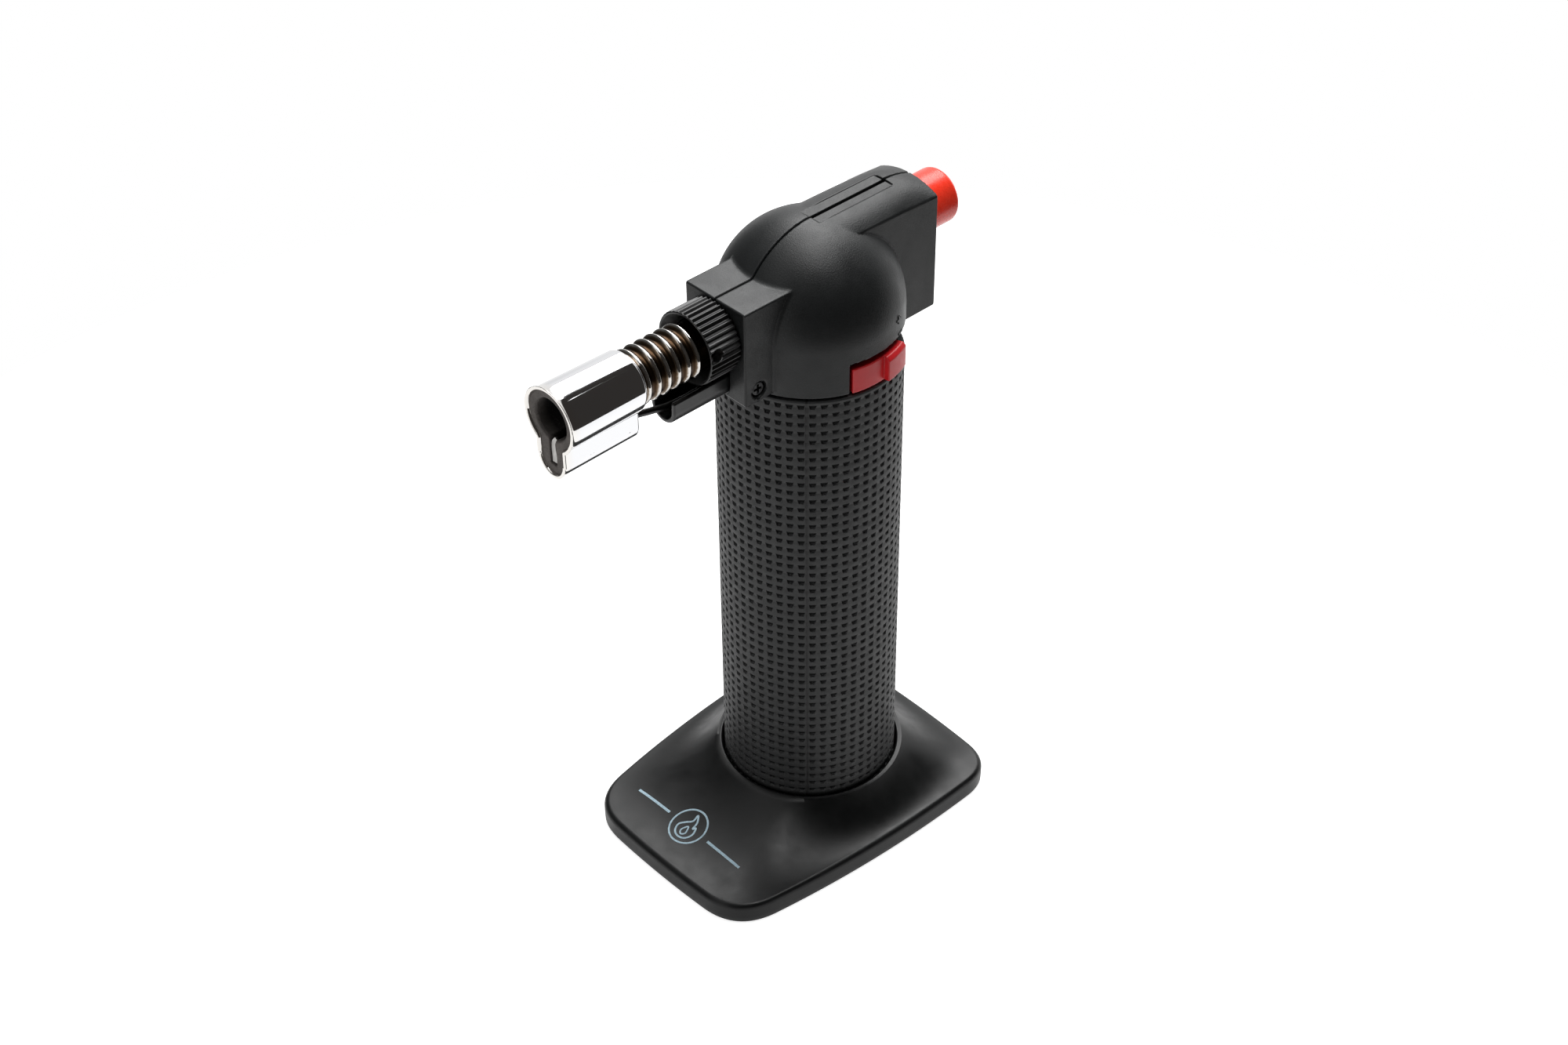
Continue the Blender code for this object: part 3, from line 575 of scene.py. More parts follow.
def heated_nickel():
    """Plated burner tube: bright ribs over straw to brown valleys left by the heat."""
    finish = Finish("nickel_heated", Metallic=1.0)
    x, y, z = finish.axis_parts()
    height = finish.math("SUBTRACT", z, BURNER_Z)
    squares = (finish.math("MULTIPLY", part, part) for part in (x, height))
    crest = finish.math("SUBTRACT", finish.math("SQRT", finish.math("ADD", *squares)), TUBE_R)
    soot = finish.noise(1.4, 4.0)
    level = finish.math("ADD", crest, finish.math("MULTIPLY", finish.math("SUBTRACT", soot, 0.5), 0.3))
    scorched, straw, plated = (0.045, 0.026, 0.014), (0.16, 0.115, 0.075), (0.76, 0.74, 0.71)
    finish.colour(level, (0.18, scorched), (0.45, straw), (0.66, plated))
    finish.rough(level, (0.15, 0.30), (0.6, 0.09))
    finish.bump(finish.noise(2.0, 2.0, 0.5), 0.003)
    return finish.material


def fired_ceramic(name, colour, roughness=0.8, mouth=None):
    """Unglazed ceramic: pores, scorched patches, and painted shade that deepens inwards from the mouth
    at y.
    """
    finish = Finish(name, Specular_IOR_Level=0.3)
    patch = finish.noise(0.3, 5.0, 0.6)
    base = finish.ramp(patch, (0.3, shade(colour, 0.7)), (0.7, shade(colour, 1.25)))
    if mouth is not None:
        # painted shade: the colour falls to 0.16 of itself deeper inside the bore
        inward = finish.math("SUBTRACT", finish.axis_parts()[1], mouth)
        deep = finish.math("MULTIPLY", inward, 0.25, clamp=True)
        base = finish.blend(finish.ramp(deep, (0.05, 0.0), (0.7, 1.0)), base, shade(colour, 0.16))
    pores = finish.ramp(finish.noise(3.5, 3.0), (0.34, 1.0), (0.42, 0.0))
    finish.colour(finish.blend(pores, base, shade(colour, 0.45)))
    finish.rough(patch, (0.3, roughness - 0.06), (0.7, roughness + 0.08))
    finish.bump(finish.noise(3.5, 4.0, 0.65), 0.03)
    return finish.material


def red_plastic(name, colour, roughness):
    """Glossy red moulding."""
    finish = Finish(name, Specular_IOR_Level=0.4)
    cloud = finish.noise(0.15, 4.0)
    finish.colour(cloud, (0.3, shade(colour, 0.88)), (0.7, shade(colour, 1.08)))
    finish.rough(finish.noise(0.9, 4.0), (0.3, roughness - 0.06), (0.72, roughness + 0.08))
    finish.bump(finish.noise(2.6, 3.0), 0.003)
    return finish.material


def felt():
    """Pale wick felt with fibres along the tank."""
    finish = Finish("wick_felt", Roughness=0.95, Sheen_Weight=0.3)
    fibre = finish.noise(3.0, 6.0, 0.7, (1.0, 1.0, 0.25))
    finish.colour(fibre, (0.3, (0.55, 0.52, 0.45)), (0.7, (0.78, 0.75, 0.67)))
    finish.bump(fibre, 0.15)
    return finish.material


def clear_hose():
    """Cloudy clear hose."""
    finish = Finish("hose_clear", Transmission_Weight=0.55, IOR=1.42)
    cloud = finish.noise(0.6, 4.0)
    finish.colour(cloud, (0.3, (0.62, 0.66, 0.62)), (0.7, (0.78, 0.80, 0.76)))
    finish.rough(cloud, (0.3, 0.22), (0.7, 0.36))
    finish.bump(finish.noise(1.5, 3.0), 0.02)
    return finish.material


def printed_ink():
    """Pale blue pad print with thin spots."""
    finish = Finish("print_ink", Specular_IOR_Level=0.3)
    thin = finish.noise(1.6, 5.0, 0.7)
    finish.colour(thin, (0.28, (0.20, 0.30, 0.36)), (0.55, (0.40, 0.54, 0.62)))
    finish.rough(thin, (0.3, 0.5), (0.7, 0.62))
    finish.bump(finish.noise(4.0, 2.0), 0.008)
    return finish.material


SHELL, FOOT, COLLAR = (0.0118, 0.0130, 0.0134), (0.0040, 0.0043, 0.0045), (0.0050, 0.0052, 0.0054)
PAINT = {
    "shell_black": moulded("shell_black", SHELL, 0.40, grain=3.4, depth=0.042, shine=0.36),
    "foot_black": moulded("foot_black", FOOT, 0.36, grain=3.4, depth=0.008, worn=1.3, shine=0.32),
    "grip_rubber": grip_rubber(),
    "grip_painted_shade": grip_painted_shade(),
    "collar_black": moulded("collar_black", COLLAR, 0.34, grain=2.0, depth=0.004, shine=0.6),
    "button_red": red_plastic("button_red", (0.95, 0.045, 0.02), 0.26),
    "lever_red": red_plastic("lever_red", (0.66, 0.012, 0.018), 0.34),
    "chrome": mirror_chrome(),
    "nickel": heated_nickel(),
    "steel": machined("steel", (0.62, 0.62, 0.63), 0.26, (1.0, 1.0, 6.0)),
    "strip_steel": machined("strip_steel", (0.56, 0.55, 0.53), 0.38, (4.0, 1.0, 1.0), stain=0.85),
    "brass": machined("brass", (0.80, 0.56, 0.23), 0.24, (0.3, 0.3, 6.0), stain=0.6),
    "black_steel": machined("black_steel", (0.045, 0.045, 0.046), 0.36, (1.0, 1.0, 1.0)),
    "ceramic_grey": fired_ceramic("ceramic_grey", (0.17, 0.155, 0.145), mouth=INSERT_LOW[1]),
    "ceramic_white": fired_ceramic("ceramic_white", (0.80, 0.78, 0.72), 0.55),
    "tank_nylon": moulded(
        "tank_nylon", (0.55, 0.53, 0.47), 0.42, 0.9, 0.01, 1.1, Subsurface_Weight=0.2
    ),
    "seal_rubber": moulded("seal_rubber", (0.018, 0.018, 0.018), 0.62, 2.0, 0.015, 1.3),
    "hose_clear": clear_hose(),
    "wick_felt": felt(),
    "igniter_grey": moulded("igniter_grey", (0.19, 0.20, 0.22), 0.42, 2.0, 0.012, 1.2),
    "lead_black": moulded("lead_black", (0.006, 0.006, 0.006), 0.32, 2.0, 0.008, 1.2),
    "ink": printed_ink(),
}


def paint_frame():
    """Gives every CAD node the finish of its material slot."""
    slots = {part["node"]: part["material_slot"] for part in frame["record"]["subparts"]}
    for name, node in frame["nodes"].items():
        node.data.materials.clear()
        node.data.materials.append(PAINT[slots[name]])
        node.data.shade_smooth()
        node.data.set_sharp_from_angle(angle=math.radians(32))


# ---- pieces


def build_shells():
    """The two halves of the hollow head."""
    for side, name in ((-1, "left"), (1, "right")):
        low, high = HEAD_LOW.copy(), HEAD_HIGH.copy()
        low[0], high[0] = (SEAM, HEAD_HIGH[0]) if side > 0 else (HEAD_LOW[0], -SEAM)
        sculpt(
            f"head_{name}", lambda q, s=side: shell_field(q, s), low, high, 0.4,
            "torch", "shell_black", [f"shell_{name}"],
        )


SLEEVE_COLUMNS, SLEEVE_ROWS = 52, 54
PIT_WIDTH, PIT_HEIGHT, PIT_FLOOR, PIT_DEPTH, PIT_SAG, RIB_DIP = 0.70, 0.52, 0.38, 0.36, -0.12, 0.12


def build_sleeve():
    """The rubber sleeve: pits that narrow downwards in a lattice of ribs, made cell by cell."""
    edge = 0.45
    z0, z1 = GRIP_LOW[2] + edge, GRIP_HIGH[2] - edge
    pitch = (z1 - z0) / SLEEVE_ROWS
    points, faces, seen = [], [], {}

    def vertex(column, row, radius):
        """column and row may be fractions of a cell."""
        key = (round(column % SLEEVE_COLUMNS, 4), round(row, 4), round(radius, 4))
        if key not in seen:
            t = 2 * math.pi * (column / SLEEVE_COLUMNS + 1 / 8)
            seen[key] = len(points)
            points.append((radius * math.cos(t), radius * math.sin(t), z0 + row * pitch))
        return seen[key]

    # half width, half height, drop from the outside, extra drop at mid-height, and sag of each outline
    outlines = (
        (0.5, 0.5, 0.0, RIB_DIP, 0.0),
        (PIT_WIDTH / 2, PIT_HEIGHT / 2, 0.02, RIB_DIP * 0.7, 0.0),
        (PIT_FLOOR / 2, 0.02, PIT_DEPTH, 0.0, PIT_SAG),
    )
    corners = ((-1, -1), (0, -1), (1, -1), (1, 0), (1, 1), (0, 1), (-1, 1), (-1, 0))
    narrow = {-1: 0.55, 0: 0.82, 1: 1.0}
    for i in range(SLEEVE_COLUMNS):
        for j in range(SLEEVE_ROWS):
            rings = []
            for half_u, half_v, drop, dip, sag in outlines:
                ring = []
                for u, v in corners:
                    across = u * half_u * (narrow[v] if half_u < 0.5 else 1)
                    radius = GRIP_R - drop - (dip if v == 0 else 0.0)
                    ring.append(vertex(i + 0.5 + across, j + 0.5 + sag + v * half_v, radius))
                rings.append(ring)
            for outer, inner in zip(rings, rings[1:]):
                for k in range(8):
                    n = (k + 1) % 8
                    faces.append((outer[k], outer[n], inner[n], inner[k]))
            faces.append(tuple(rings[-1]))

    count = 2 * SLEEVE_COLUMNS

    def hoop(row, radius):
        return [vertex(i / 2, row, radius) for i in range(count)]

    def band(below, above):
        for i in range(count):
            n = (i + 1) % count
            faces.append((below[i], below[n], above[n], above[i]))

    ends = []
    for row, first_z, end_z in ((0, z0 - 0.3, GRIP_LOW[2]), (SLEEVE_ROWS, z1 + 0.3, GRIP_HIGH[2])):
        last = hoop(row, GRIP_R)
        for radius, z in ((GRIP_R - 0.12, first_z), (GRIP_R - edge, end_z), (TANK_R + 0.3, end_z)):
            ring = hoop((z - z0) / pitch, radius)
            band(*((last, ring) if row else (ring, last)))
            last = ring
        ends.append(last)
    band(*reversed(ends))
    sleeve = put("grip_lattice", points, faces, "torch", "grip_rubber", ["grip_sleeve"], sharp=14)
    sleeve.data.materials.append(PAINT["grip_painted_shade"])
    bottom = (GRIP_LOW[2] + 1.0) * MM
    # faces that look down, above the bottom edge, get the painted shade
    for face in sleeve.data.polygons:
        face.material_index = int(face.normal.z < -UNDERCUT and face.center.z > bottom)


def build_lever():
    """The gas lever: its hub ring, the arm through the slot and the stepped pad outside."""
    bottom, top, inner, edge = LEVER_LOW[2], LEVER_HIGH[2], 17.3, 0.2
    low_pad = (inner, 19.0, bottom, top, LEVER_FROM, LEVER_STEP + 1.0, edge)
    high_pad = (inner, LEVER_HIGH[0], bottom, top, LEVER_STEP, LEVER_TO, edge, 0.7)

    def field(q):
        x, y, z = parts_of(q)
        hub = round_and(0.1, between(np.hypot(x, y), 6.5, 9.3), between(z, 120.9, 122.9))
        arm = sector_field(q, 8.4, 18.6, 121.7, 122.9, -6, 14, 0.1)
        pads = round_or(0.15, sector_field(q, *low_pad), sector_field(q, *high_pad))
        return np.minimum.reduce([hub, arm, pads])

    low = (-9.3, min(-9.3, LEVER_LOW[1]), bottom)
    high = (LEVER_HIGH[0], max(9.3, LEVER_HIGH[1]), top)
    sculpt("lever_moulding", field, low, high, 0.16, "lever", "lever_red", ["gas_lever"])


def build_button():
    """The button's cap and its two push rods."""
    front, back, r = 24.6, BUTTON_HIGH[1], BUTTON_R
    profile = [(4.9, 33.9), (4.9, front), (r - 0.15, front), (r, front + 0.15), (r, back - 1.1)]
    profile += arc((r - 1.1, back - 1.1), 1.1, 0, 90, 8)[1:]
    profile += [(r * 0.6, back), (0.02, back)]
    parts = [closed_skin(turned_y(profile, 96, BUTTON_Z), flip=True)]
    for side in (-1, 1):
        rod = turned_y([(0.35, -2.7), (0.72, -2.4), (0.9, -1.8), (0.9, front + 2.4)], 24, 140.4)
        moved = [[(x + side * 4.4, y, z) for x, y, z in ring] for ring in rod]
        parts.append(closed_skin(moved, flip=True))
    put("button_cap", *merged(parts), "button", "button_red", ["igniter_button"], sharp=35)


def build_collar():
    """The knurled air collar, with a chamfered nose, a dished front and two air holes."""
    low, high = COLLAR_LOW[1], COLLAR_HIGH[1]
    hole = math.radians(AIR_HOLE_ANGLE)

    def field(q):
        x, y, z = parts_of(q - (0, 0, BURNER_Z))
        radius = np.hypot(x, z)
        wave = np.cos(COLLAR_RIBS * np.arctan2(z, x))
        rib = 0.5 * (0.5 - 0.5 * wave) ** 0.8 * np.clip((y - low - 0.12) / 0.25, 0, 1)
        outside = radius - COLLAR_R + rib
        nose = ((radius - COLLAR_R + 0.22) - (y - low)) * 0.72
        ring = round_and(0.12, outside, nose, low - y, y - high)
        dish = np.maximum((radius - COLLAR_R + 0.50 + (y - low) * 0.8) * 0.78, y - low - 2.4)
        bore = 5.2 - radius
        across = np.hypot(y - AIR_HOLE_Y, -x * math.sin(hole) + z * math.cos(hole)) - 1.3
        return round_and(0.12, ring, -dish, bore, -across)

    r = COLLAR_R
    sculpt(
        "collar_knurled", field, (-r, low, BURNER_Z - r), (r, high, BURNER_Z + r), 0.2,
        "collar", "collar_black", ["air_collar"],
    )


def build_tube():
    """The burner tube with its rounded ribs."""
    rear, front = TUBE_HIGH[1], TUBE_LOW[1]
    profile = [(3.65, rear), (TUBE_R, rear), (TUBE_R, RIB_FIRST + 1.3)]
    steps = 14
    for i in range(RIBS):
        for k in range(steps):
            t = (k / steps - 0.5) * 2 * math.pi
            rise = (0.5 + 0.5 * math.cos(t)) ** 1.5
            y = RIB_FIRST - RIB_PITCH * (i + t / (2 * math.pi))
            profile.append((TUBE_R + (RIB_R - TUBE_R) * rise, y))
    last = profile[-1][1]
    profile += [(TUBE_R, last - 0.3), (TUBE_R, front), (4.1, front), (4.1, -30.0), (3.65, -29.0)]
    rings = turned_y(profile, 96, BURNER_Z)
    skin("burner_ribs", rings, "torch", "nickel", ["burner_tube"], loop=True, sharp=50)


def build_sheath():
    """The chromed sheath with its keyhole section, and the rolled edge around its neck."""
    front, rear = SHEATH_LOW[1], SHEATH_HIGH[1]

    def grow(y):
        """How far the section stands out from its rear size."""
        taper = 0.35 * np.clip((rear - y) / (rear - front), 0, 1)
        return taper + 0.35 * np.exp(-np.maximum(y - front, 0) / 0.45)

    def field(q):
        y = q[..., 1]
        section = keyhole_field(q, 6.3, LOBE_R - 0.15)
        section = section - grow(y) * np.where(q[..., 2] < LOBE_Z, 0.6, 1.0)
        body = round_and(0.75, section, y - rear)
        body = round_and(0.10, body, front - y)
        hollow = np.maximum(section + 0.72, y - rear + 0.5)
        neck = around_y(q, BURNER_Z) - 5.2
        lead = np.hypot(q[..., 0], q[..., 2] - WIRE_Z) - 1.0
        return round_and(0.10, body, -np.minimum.reduce([hollow, neck, lead]))

    low, high = SHEATH_LOW - (0, 0, 0.6), SHEATH_HIGH
    sculpt("sheath_chrome", field, low, high, 0.15, "torch", "chrome", ["nozzle_sheath"])
    ring = arc((5.25, rear + 0.12), 0.35, 0, 360, 12)[:-1]
    skin("sheath_collar", turned_y(ring, 64, BURNER_Z), "torch", "chrome", loop=True)


def build_insert():
    """The ceramic insert with its bore, the electrode's slot and the lead's tunnel."""
    front, rear = INSERT_LOW[1], INSERT_HIGH[1]

    def field(q):
        x, y, z = parts_of(q)
        body = round_and(0.25, keyhole_field(q, 6.05, 3.2), between(y, front, rear))
        bore = around_y(q, BURNER_Z) - 4.35 - 0.25 * np.clip((front + 0.5 - y) / 0.5, 0, 1)
        slot = box_field(q, (-0.95, front - 2, 123.4), (0.95, front + 4.5, 130.5), 0.3)
        tunnel = np.hypot(x, z - WIRE_Z) - 1.65
        tunnel = np.maximum(tunnel, -61.0 - y)
        return round_and(0.2, body, -round_or(0.25, bore, slot), -tunnel)

    low, high = INSERT_LOW - (0.3, 0, 0.6), INSERT_HIGH + (0.3, 0, 0.3)
    sculpt("insert_fired", field, low, high, 0.22, "torch", "ceramic_grey", ["nozzle_insert"])


def tube_along(path, radius, sides):
    """Rings about a path, each one square to it."""
    path = [Vector(p) for p in path]
    rings, across = [], None
    for i, point in enumerate(path):
        ahead = (path[min(i + 1, len(path) - 1)] - path[max(i - 1, 0)]).normalized()
        if abs(ahead.x) >= 0.9:
            across = Vector((0, 0, 1))
        elif across is None:
            across = Vector((1, 0, 0))
        across = (across - ahead * across.dot(ahead)).normalized()
        up = ahead.cross(across)
        turns = [2 * math.pi * k / sides for k in range(sides)]
        rings.append([point + (across * math.cos(t) + up * math.sin(t)) * radius for t in turns])
    return rings


def smooth_path(points, per_span):
    """A Catmull-Rom curve through the points."""
    points = [Vector(p) for p in points]
    padded = [points[0] * 2 - points[1], *points, points[-1] * 2 - points[-2]]
    path = []
    for a, b, c, d in zip(padded, padded[1:], padded[2:], padded[3:]):
        curve, twist = a * 2 - b * 5 + c * 4 - d, b * 3 - a - c * 3 + d
        for k in range(per_span):
            t = k / per_span
            path.append((b * 2 + (c - a) * t + curve * t**2 + twist * t**3) * 0.5)
    return [*path, points[-1]]


def build_electrode():
    """The bent strip in the insert's slot, on the wire from the ceramic tube."""
    z = WIRE_Z
    front, rear = -64.25, -63.8
    wire = closed_skin(tube_along([(0, rear, z), (0, -48.0, z)], 0.5, 20))
    bend = [
        (0.12, 123.8), (0, 125.2), (-0.12, 126.8), (-0.10, 127.9), (0.12, 128.6),
        (0.45, 129.2), (0.80, 129.6),
    ]
    middle = [(p.x, p.z) for p in smooth_path([(x, 0, height) for x, height in bend], 5)]
    strip = []
    for i, (x, height) in enumerate(middle):
        share = i / (len(middle) - 1)
        before, after = middle[max(i - 1, 0)], middle[min(i + 1, len(middle) - 1)]
        ahead = Vector((after[0] - before[0], 0, after[1] - before[1])).normalized()
        side = Vector((ahead.z, 0, -ahead.x)) * (0.76 - 0.46 * share)
        corners = ((-1, front), (1, front), (1, rear), (-1, rear))
        strip.append([(x + sign * side.x, depth, height + sign * side.z) for sign, depth in corners])
    parts = merged([wire, closed_skin(strip)])
    put("electrode_strip", *parts, "torch", "strip_steel", ["spark_electrode"], "steel", sharp=30)


def build_trough():
    """The open channel under the burner that carries the lead."""

    def field(q):
        x, y, z = parts_of(q)
        bend = np.where(z > TROUGH_Z, np.abs(x), np.hypot(x, z - TROUGH_Z))
        length = between(y, TROUGH_LOW[1], TROUGH_HIGH[1])
        body = round_and(0.35, bend - TROUGH_OUT, z - TROUGH_HIGH[2], length)
        return round_and(0.15, body, TROUGH_IN - bend)

    sculpt(
        "trough_channel", field, TROUGH_LOW, TROUGH_HIGH, 0.22,
        "torch", "collar_black", ["wire_trough"],
    )


def build_lead():
    """The black lead from the igniter, along the trough and into the sheath's lobe."""
    route = [
        (0, 8.5, 138.2), (2.2, 6.0, 135.6), (5.6, 1.5, 131.5), (6.4, -6.0, 128.2), (4.6, -13.5, 127.6),
        (1.4, -18.0, 127.2), (0, -21.0, 126.4), (0, -23.2, 125.3), (0, -25.0, 124.1), (0, -28.5, 122.8),
        (0, -36.0, 122.7), (0, -41.0, 123.7), (0, -45.0, 124.7), (0, -47.6, WIRE_Z),
    ]
    rings = tube_along(smooth_path(route, 6), 0.7, 16)
    skin("lead_insulated", rings, "torch", "lead_black", ["ignition_lead"], caps=True)


def build_screw():
    """The head screw with its cross recess."""

    def field(q):
        x, y, z = parts_of(q - (0, SCREW_Y, SCREW_Z))
        radius = np.hypot(y, z)
        head = round_and(0.25, radius - 1.5, between(x, 6.9, SCREW_HIGH[0]))
        shaft = np.maximum(radius - 0.95, between(x, SCREW_LOW[0], 7.1))
        thin = 0.24 + 0.12 * (x - 7.9)
        reach = 1.05 + 0.6 * (x - 7.9)
        bars = [np.maximum(np.abs(a) - thin, np.abs(b) - reach) for a, b in ((y, z), (z, y))]
        cross = np.maximum(np.minimum(*bars), 7.25 - x)
        return round_and(0.05, np.minimum(head, shaft), -cross)

    sculpt("screw_cross", field, SCREW_LOW, SCREW_HIGH, 0.11, "torch", "black_steel", ["shell_screw"])


# ---- foot


def foot_outline(count):
    """The foot from above: four bulging sides with rounded corners."""
    corner_y = FOOT_HIGH[1] - 1.6
    front_y = FOOT_LOW[1] + 1.1
    right = (24.0, front_y), (29.4, corner_y)
    corners = [Vector(c) for c in (*right, *((-x, y) for x, y in reversed(right)))]
    bulge = (2.5, FOOT_HIGH[1] - corner_y, 2.5, front_y - FOOT_LOW[1])
    rounding = (9.5, 8.0, 8.0, 9.5)

    def side_point(i, t):
        a, b = corners[i], corners[(i + 1) % 4]
        along = b - a
        outward = Vector((along.y, -along.x)).normalized()
        return a + along * t + outward * (bulge[i] * 4 * t * (1 - t))

    outline = []
    for i in range(4):
        a, b = corners[i], corners[(i + 1) % 4]
        length = (b - a).length
        start, end = rounding[i] / length, 1 - rounding[(i + 1) % 4] / length
        outline += [side_point(i, start + (end - start) * k / 48) for k in range(49)]
        next_start = rounding[(i + 1) % 4] / (corners[(i + 2) % 4] - b).length
        p0, p1, p2 = side_point(i, end), side_point(i, 1.0), side_point((i + 1) % 4, next_start)
        for k in range(1, 24):
            t = k / 24
            outline.append(p0 * (1 - t) ** 2 + p1 * (2 * t * (1 - t)) + p2 * t**2)
    lengths = [(b - a).length for a, b in zip(outline, outline[1:] + outline[:1])]
    step, points, walked, i = sum(lengths) / count, [], 0.0, 0
    for k in range(count):
        while walked + lengths[i] < k * step:
            walked += lengths[i]
            i += 1
        share = (k * step - walked) / lengths[i]
        points.append(outline[i].lerp(outline[(i + 1) % len(outline)], share))
    return points


OUTLINE = foot_outline(288)


def foot_height(t):
    """Height of the foot's top face at the share t of the way from the collar to the rim."""
    return FOOT_RIM_Z + (FOOT_COLLAR_Z - 0.1 - FOOT_RIM_Z) * (0.75 * (1 - t) ** 2.2 + 0.25 * (1 - t))


def top_at(x, y):
    """Height of the foot's top face over a point."""
    turns, reaches = zip(*sorted((math.atan2(p.y, p.x), p.length) for p in OUTLINE))
    reach = np.interp(math.atan2(y, x), turns, reaches, period=2 * math.pi)
    t = (math.hypot(x, y) - FOOT_FACE_R) / (reach - FOOT_ROLL - FOOT_FACE_R)
    return foot_height(min(max(t, 0), 1))


def build_foot():
    """The foot as one closed skin: floor and socket, lip, top face, rim and the underside."""

    def ring(z, reach):
        """A ring at height z, at the radius that reach gives for each point of the outline."""
        return [(*(p / p.length * reach(p.length)), z) for p in OUTLINE]

    def collar(radius, z):
        return ring(z, lambda length: radius)

    def rim(inset, z):
        return ring(z, lambda length: length - inset)

    def face(t, drop, inset):
        inner = FOOT_FACE_R
        return ring(foot_height(t) - drop, lambda length: inner + (length - inset - inner) * t)

    socket = FOOT_SOCKET_R
    inside = (12.0, 1.0), (12.0, 3.0), (socket, 3.0), (socket, FOOT_COLLAR_Z - 0.35)
    rings = [collar(r, z) for r, z in inside]
    lip = arc((socket + 0.4, FOOT_COLLAR_Z - 0.4), 0.4, 180, 60, 6)
    rings += [collar(r, z) for r, z in lip[1:]]
    rings += [face(t, 0.0, FOOT_ROLL) for t in np.linspace(0.0, 1.0, 28)]
    roll = arc((0.0, foot_height(1.0) - 1.35), 1.35, 90, 0, 8)
    rings += [rim(FOOT_ROLL - x, z) for x, z in roll[1:]]
    below = (-0.05, 1.6), (0.0, 0.5), (0.15, 0.15), (0.5, 0.0), (3.0, 0.0), (3.3, 3.0)
    rings += [rim(inset, z) for inset, z in below]
    rings += [face(t, FOOT_WALL, 3.0) for t in (0.7, 0.45, 0.25)]
    rings += [collar(socket + FOOT_WALL, FOOT_COLLAR_Z - 2.4), collar(socket + FOOT_WALL, 1.0)]
    skin("foot_moulding", rings, "foot", "foot_black", ["foot_stand"], loop=True, flip=True, sharp=35)


FLAME = [
    (0.0, -3.1), (1.6, -2.5), (2.3, -0.9), (1.7, 0.7), (1.2, 0.2), (0.9, 1.8), (-0.3, 3.2), (-0.2, 1.6),
    (-1.4, 0.4), (-2.3, -0.9), (-1.6, -2.5),
]
SPARK = [(0.0, -2.3), (0.7, -1.7), (0.5, -0.8), (0.0, 0.0), (-0.6, -0.9), (-0.7, -1.7)]
PRINT_X, PRINT_Y, PRINT_RISE = -1.7, -35.0, 0.03


def ribbon(path, width, closed=False):
    """A printed line along a path of (x, y) points, laid over the foot's top face."""
    count = len(path)
    points = []
    for i, point in enumerate(path):
        before = path[(i - 1) % count] if closed else path[max(i - 1, 0)]
        after = path[(i + 1) % count] if closed else path[min(i + 1, count - 1)]
        along = (Vector(after) - Vector(before)).normalized()
        for sign in (1, -1):
            x = PRINT_X + point[0] - sign * along.y * width / 2
            y = PRINT_Y + point[1] + sign * along.x * width / 2
            points.append((x, y, top_at(x, y) + PRINT_RISE))
    steps = count if closed else count - 1
    last = 2 * count
    return points, [(2 * i, 2 * i + 1, (2 * i + 3) % last, (2 * i + 2) % last) for i in range(steps)]


def loop_path(corners, per_span):
    """A smooth closed curve through (x, y) corners."""
    looped = smooth_path([(*c, 0) for c in (*corners[-2:], *corners, *corners[:2])], per_span)
    return [(p.x, p.y) for p in looped[2 * per_span : -(per_span + 1)]]


def build_print():
    """The generic print on the foot: a flame in a ring with a plain bar on each side."""
    ring = arc((0, 0), 4.3, 0, 360, 64)[:-1]
    loops = ((ring, 0.42), (loop_path(FLAME, 6), 0.42), (loop_path(SPARK, 6), 0.34))
    parts = [ribbon(path, width, closed=True) for path, width in loops]
    for side in (-1, 1):
        parts.append(ribbon([(side * x, 0.0) for x in np.linspace(6.2, 16.5, 24)], 0.6))
    put("foot_print", *merged(parts), "foot", "ink", slot=None, sharp=60)


# piece, CAD node, joint, travel, turns, wire radius, axis and whether the high end stays put
SPRINGS = (
    ("filler_coil", "filler_spring", "filler_push", 1.5, 4, 0.25, 2, True),
    ("valve_coil", "valve_spring", "valve_lift", 1.4, 7, 0.28, 2, True),
    ("igniter_coil", "igniter_spring", "igniter_press", 4.5, 4, 0.3, 1, False),
)
STEPS_PER_TURN = 20


def build_springs():
    """The three return springs, each a coil of wire in its CAD node's box."""
    for name, node, joint, travel, turns, wire, axis, high_end in SPRINGS:
        low, high = box_mm(node)
        centre = (low + high) / 2
        length = high[axis] - low[axis]
        radius = (high[0] - low[0]) / 2 - wire
        path = []
        for t in np.linspace(0, 1, turns * STEPS_PER_TURN + 1):
            turn = 2 * math.pi * turns * t
            point = centre.copy()
            point[axis] = low[axis] + wire + (length - 2 * wire) * t
            point[0] += radius * math.cos(turn)
            point[3 - axis] += radius * math.sin(turn)
            path.append(point)
        spring = skin(name, tube_along(path, wire, 8), "torch", "steel", [node], caps=True)
        fixed, along = centre.copy(), [0, 0, 0]
        fixed[axis], along[axis] = (high if high_end else low)[axis], 1
        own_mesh(spring)


# angle, height, half height and half width of each stroke of the plus and the minus
STROKES = ((21.8, 130.4, 0.9, 0.26), (21.8, 130.4, 0.26, 0.9), (24.6, 126.9, 0.26, 0.9))


def build_marks():
    """Raised plus and minus beside the gas lever."""
    parts = []
    for angle, z, tall, wide in STROKES:
        half = math.degrees(wide / HEAD_R)
        rings = []
        for rise, shrink in ((-0.3, 0.0), (0.10, 0.0), (0.16, 0.06)):
            ring = []
            for a, b in ((-1, -1), (1, -1), (1, 1), (-1, 1)):
                turn, radius = math.radians(angle + a * (half - 3 * shrink)), HEAD_R + rise
                ring.append((radius * math.cos(turn), radius * math.sin(turn), z + b * (tall - shrink)))
            rings.append(ring)
        parts.append(closed_skin(rings))
    put("flow_marks", *merged(parts), "torch", "shell_black", slot=None, sharp=30)


# ---- floor, light and camera


